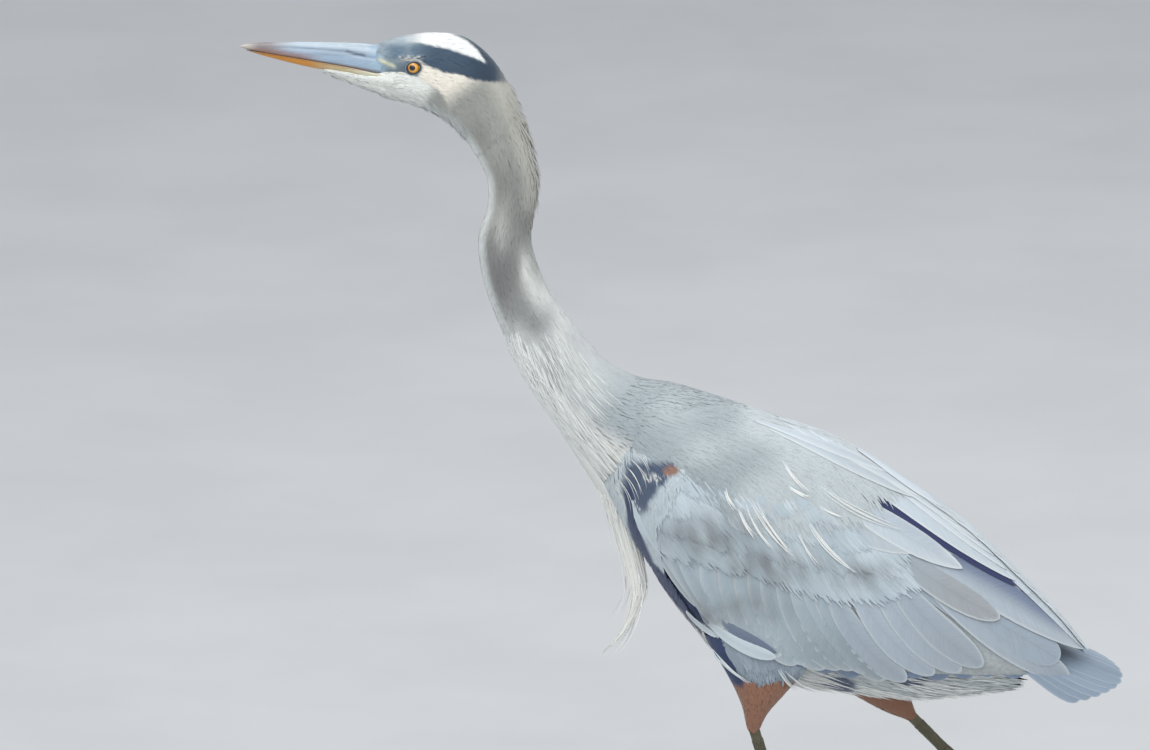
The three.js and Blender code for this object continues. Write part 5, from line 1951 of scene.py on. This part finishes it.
def mantle_line(x):
    """The lower border of the loose grey plumage of the back, in side view."""
    return along(MANTLE_LOW, x)


def mantle_colour(points, *_):
    return patch_colour(points, mantle_tone(points))


def mantle_coat():
    def keep(points, t, a):
        q = sight(points)
        ragged = rng.normal(0, 5, len(t))
        return (q > mantle_line(points[:, 0]) + ragged) & (points[:, 0] < 62 + 3 * ragged)

    t, a = grid_roots(WING, 0.1, 5.4, 4.2, 1.6, keep)
    points = WING.at(t, a)
    near = smooth(60, 0, sight(points) - mantle_line(points[:, 0]))
    turn = facing_side(a) * near * 0.55 * smooth(-150, -60, points[:, 0])
    length = 19 + 3.4 * t + 5 * near
    by_patch = blob(points[:, 0], sight(points), (-150, 520), (34, 26))
    length = length * (1 - 0.55 * by_patch)
    split_coat("coat_mantle", WING, t, a, "plumage_body", length=length * 1.15, width=2.3 + 0.12 * t,
               lift=0.05 + 0.1 * near, depth=0.9, colour=mantle_colour, turn=turn, spread=0.10)


def margin_coat():
    """Small feathers over the wing's front edge and the shoulder patch."""

    def keep(points, t, a):
        side = np.abs(np.sin(a)) > 0.35
        q = sight(points)
        rear = along([(330, -95), (400, -138), (450, -146), (480, -130), (520, -112)], q)
        return side & (q < mantle_line(points[:, 0]) + 6) & (points[:, 0] < rear)

    def colour(points, *_):
        pale = patch_colour(points, even(points, linear(198, 210, 216)))
        return mix(pale, EDGE_NAVY, rim_share(points))

    t, a = grid_roots(WING, 0.0, 3.6, 3.0, 1.9, keep)
    split_coat("coat_margin", WING, t, a, "plumage_body", length=10.5, width=2.2, lift=0.05, depth=0.9,
               colour=colour, turn=facing_side(a) * 0.9, spread=0.1)


def thigh_coat(side, leg):
    form = Form(leg["thigh"], leg["y"])
    t, a = grid_roots(form, 0.05, 3.98, 3.6, 1.8)

    def colour(points, t_, a_):
        hem = 300 + 3 * np.sin(a_ * 5) + 2 * np.sin(a_ * 13)
        front = smooth(0.48, 0.62, np.cos(a_ - np.pi)) * smooth(291, 298, points[..., 2])
        tone = mix(even(points, RUFOUS), FLANK, smooth(hem - 2, hem + 2, points[..., 2]))
        return mix(tone, EDGE_NAVY, front)

    split_coat(f"coat_thigh_{side}", form, t, a, "plumage_thigh", length=15 - 1.6 * t, width=3.1 - 0.25 * t,
               lift=0.2, depth=1.2, sink=0.5, colour=colour, spread=0.12)


def flank_feathers(side, leg):
    """Pale feathers that hang from under the wing's edge over the outer side of the thigh."""
    (rear_x, rear_z, front_x, front_z, half, _), *_ = leg["thigh"]
    above = (rear_x + 14, rear_z + 30, front_x - 12, front_z + 30, half - 6, 0)
    form = Form([above, *leg["thigh"]], leg["y"])
    sheet = form_sheet(lambda t, a: form.at(t, a, 1.0), 4.0, 60, 60)
    parts = Parts()
    turn = -1 if leg["y"] < 0 else 1
    out = math.pi / 2 * turn
    pale = smudged(linear(160, 173, 184), linear(134, 147, 160), 0.8)
    for start, stop, height, count in ((0.9, 2.5, -3.4, 20), (0.7, 2.2, -3.0, 18)):
        a = out + turn * np.linspace(-1.25, 0.62, count) + rng.normal(0, 0.04, count)
        v = np.linspace(0, 1, AXIS_POINTS)
        ends = stop + rng.uniform(-0.18, 0.18, count)
        t = start + (ends - start)[:, None] * v
        axes = form.at(t, a[:, None] + 0.0 * v, 1.0)
        axes[..., 0] += 10 * (v**2)
        lay_frayed(parts, sheet, axes, 13.0, height, height + 3.0, pale, fray=0.18)
    show_coat(f"flank_{side}", parts, FEATHER)


# ---------- scales ----------


def scales(parts, form, t, a, length, half_angle, lift, thick, tint):
    """Plates that wrap round a limb. half_angle is how far each reaches to either side of its middle."""
    n, stations = len(t), np.array([0.0, 0.18, 0.8, 1.0])
    span = np.array([0.7, 1.0, 0.95, 0.6])
    _, _, _, speed, _ = form.frame(t, a)
    ts = t[:, None] + stations * (length / speed)[:, None]
    ts = np.clip(ts, 0, form.last)[:, :, None]
    as_ = a[:, None, None] + BLADE[:, 0] * (half_angle * span)[:, None]
    centre, normal, _, _, _ = form.frame(ts + 0 * as_, as_)
    rise = lift * np.array([-0.3, 0.3, 1.0, 0.5])[None, :, None, None]
    base = centre + normal * rise
    base[..., 2] = np.maximum(base[..., 2], 0.3)
    top = normal * (thick * BLADE[:, 1])[None, None, :, None]
    colours = tint(base)
    roots = np.stack([np.mod(a / (2 * np.pi), 1), t / form.last], -1)
    flat = np.zeros((n, len(stations)))
    sweep(parts, base + top, flat[..., None] + np.zeros(3), flat, BLADE, stations, colours, roots, bulge=None)


def leg_scales(side, leg):
    """Broad plates down the front of the tarsus and the toes' tops, small scales over the rest of the leg."""
    parts = Parts()
    form = leg_form(leg)
    first = len(SHANK_ROWS)
    plates = np.arange(first + 0.25, form.last - 0.15, 5.2 / ROW_REACH)
    scales(parts, form, plates, np.full(len(plates), np.pi), 5.6, 0.95, 0.35, 0.5, leg_colour)
    rear = np.arange(first + 0.3, form.last - 0.2, 4.4 / ROW_REACH)
    scales(parts, form, rear, np.zeros(len(rear)), 4.6, 0.55, 0.2, 0.35, leg_colour)

    def keep(points, t, a):
        return (t < first + 0.2) | (np.abs(np.sin(a)) > 0.75)

    t, a = grid_roots(form, 0.9, form.last - 0.2, 2.3, 2.3, keep)
    scales(parts, form, t, a, 2.3, 0.19, 0.12, 0.28, leg_colour)
    for toe in TOES:
        form = toe_form(leg, toe)
        reach = TOES[toe][1]
        tops = np.arange(0.5, form.last - 0.1, 3.4 * form.last / reach)
        scales(parts, form, tops, np.zeros(len(tops)), 3.7, 0.9, 0.3, 0.4, leg_colour)
    show_coat(f"scales_{side}", parts, SCALE)


# ---------- everything ----------

FEATHER = feather_material("feathers", 0.16)
VANES = feather_material("vanes", 0.05, 0.62, 0.2)
SKIN = skin_material("skin", 0.6, 900.0)
SCALE = skin_material("scales", 0.45, 1400.0)
HORN_BILL = horn_material("bill_horn", 0.38, 0.10, 0.25)
HORN_CLAW = horn_material("claw_horn", 0.35, 0.15, 0.2)
EYE_GLOSS = horn_material("eye_gloss", 0.12, 0.02, 1.0)

WING_SHEET = form_sheet(WING.at, WING.last, 260, 220)
HEAD_SHAPE = form_sheet(BODY.at, 8.0, 161, 97)
DRAPED = {wing_side: draped_sheet(wing_side) for wing_side in SIDES.values()}

finish_skin(make_skin(), SKIN)
make_bill(HORN_BILL)
make_eyes(EYE_GLOSS)
make_claws(HORN_CLAW)
make_lids(SKIN, HEAD_SHAPE.tree)
head_coat()
chin_coat()
neck_coat()
trunk_coat()
mantle_coat()
margin_coat()
for wing_side in SIDES.values():
    wing_feathers(wing_side)
ridge_feathers()
tail_feathers()
breast_plumes()
loose_plumes()
side_strands("scapular_plumes", SCAPULAR_PLUMES, 1.2, linear(240, 242, 240), COVERT_PALE, 0.06, 4, 0.9)
side_strands("thigh_plumes", THIGH_PLUMES, 1.0, linear(220, 226, 227), COVERT_PALE, 0.04, 3, 1.2, -2.0,
             DRAPED)
for leg_side, leg_ in LEGS.items():
    thigh_coat(leg_side, leg_)
    flank_feathers(leg_side, leg_)
    leg_scales(leg_side, leg_)
side_strands("breast_wisps", BREAST_WISPS, 0.55, linear(246, 248, 244), SNOW, -0.08, 2, 1.1, 1.8)
make_scene()
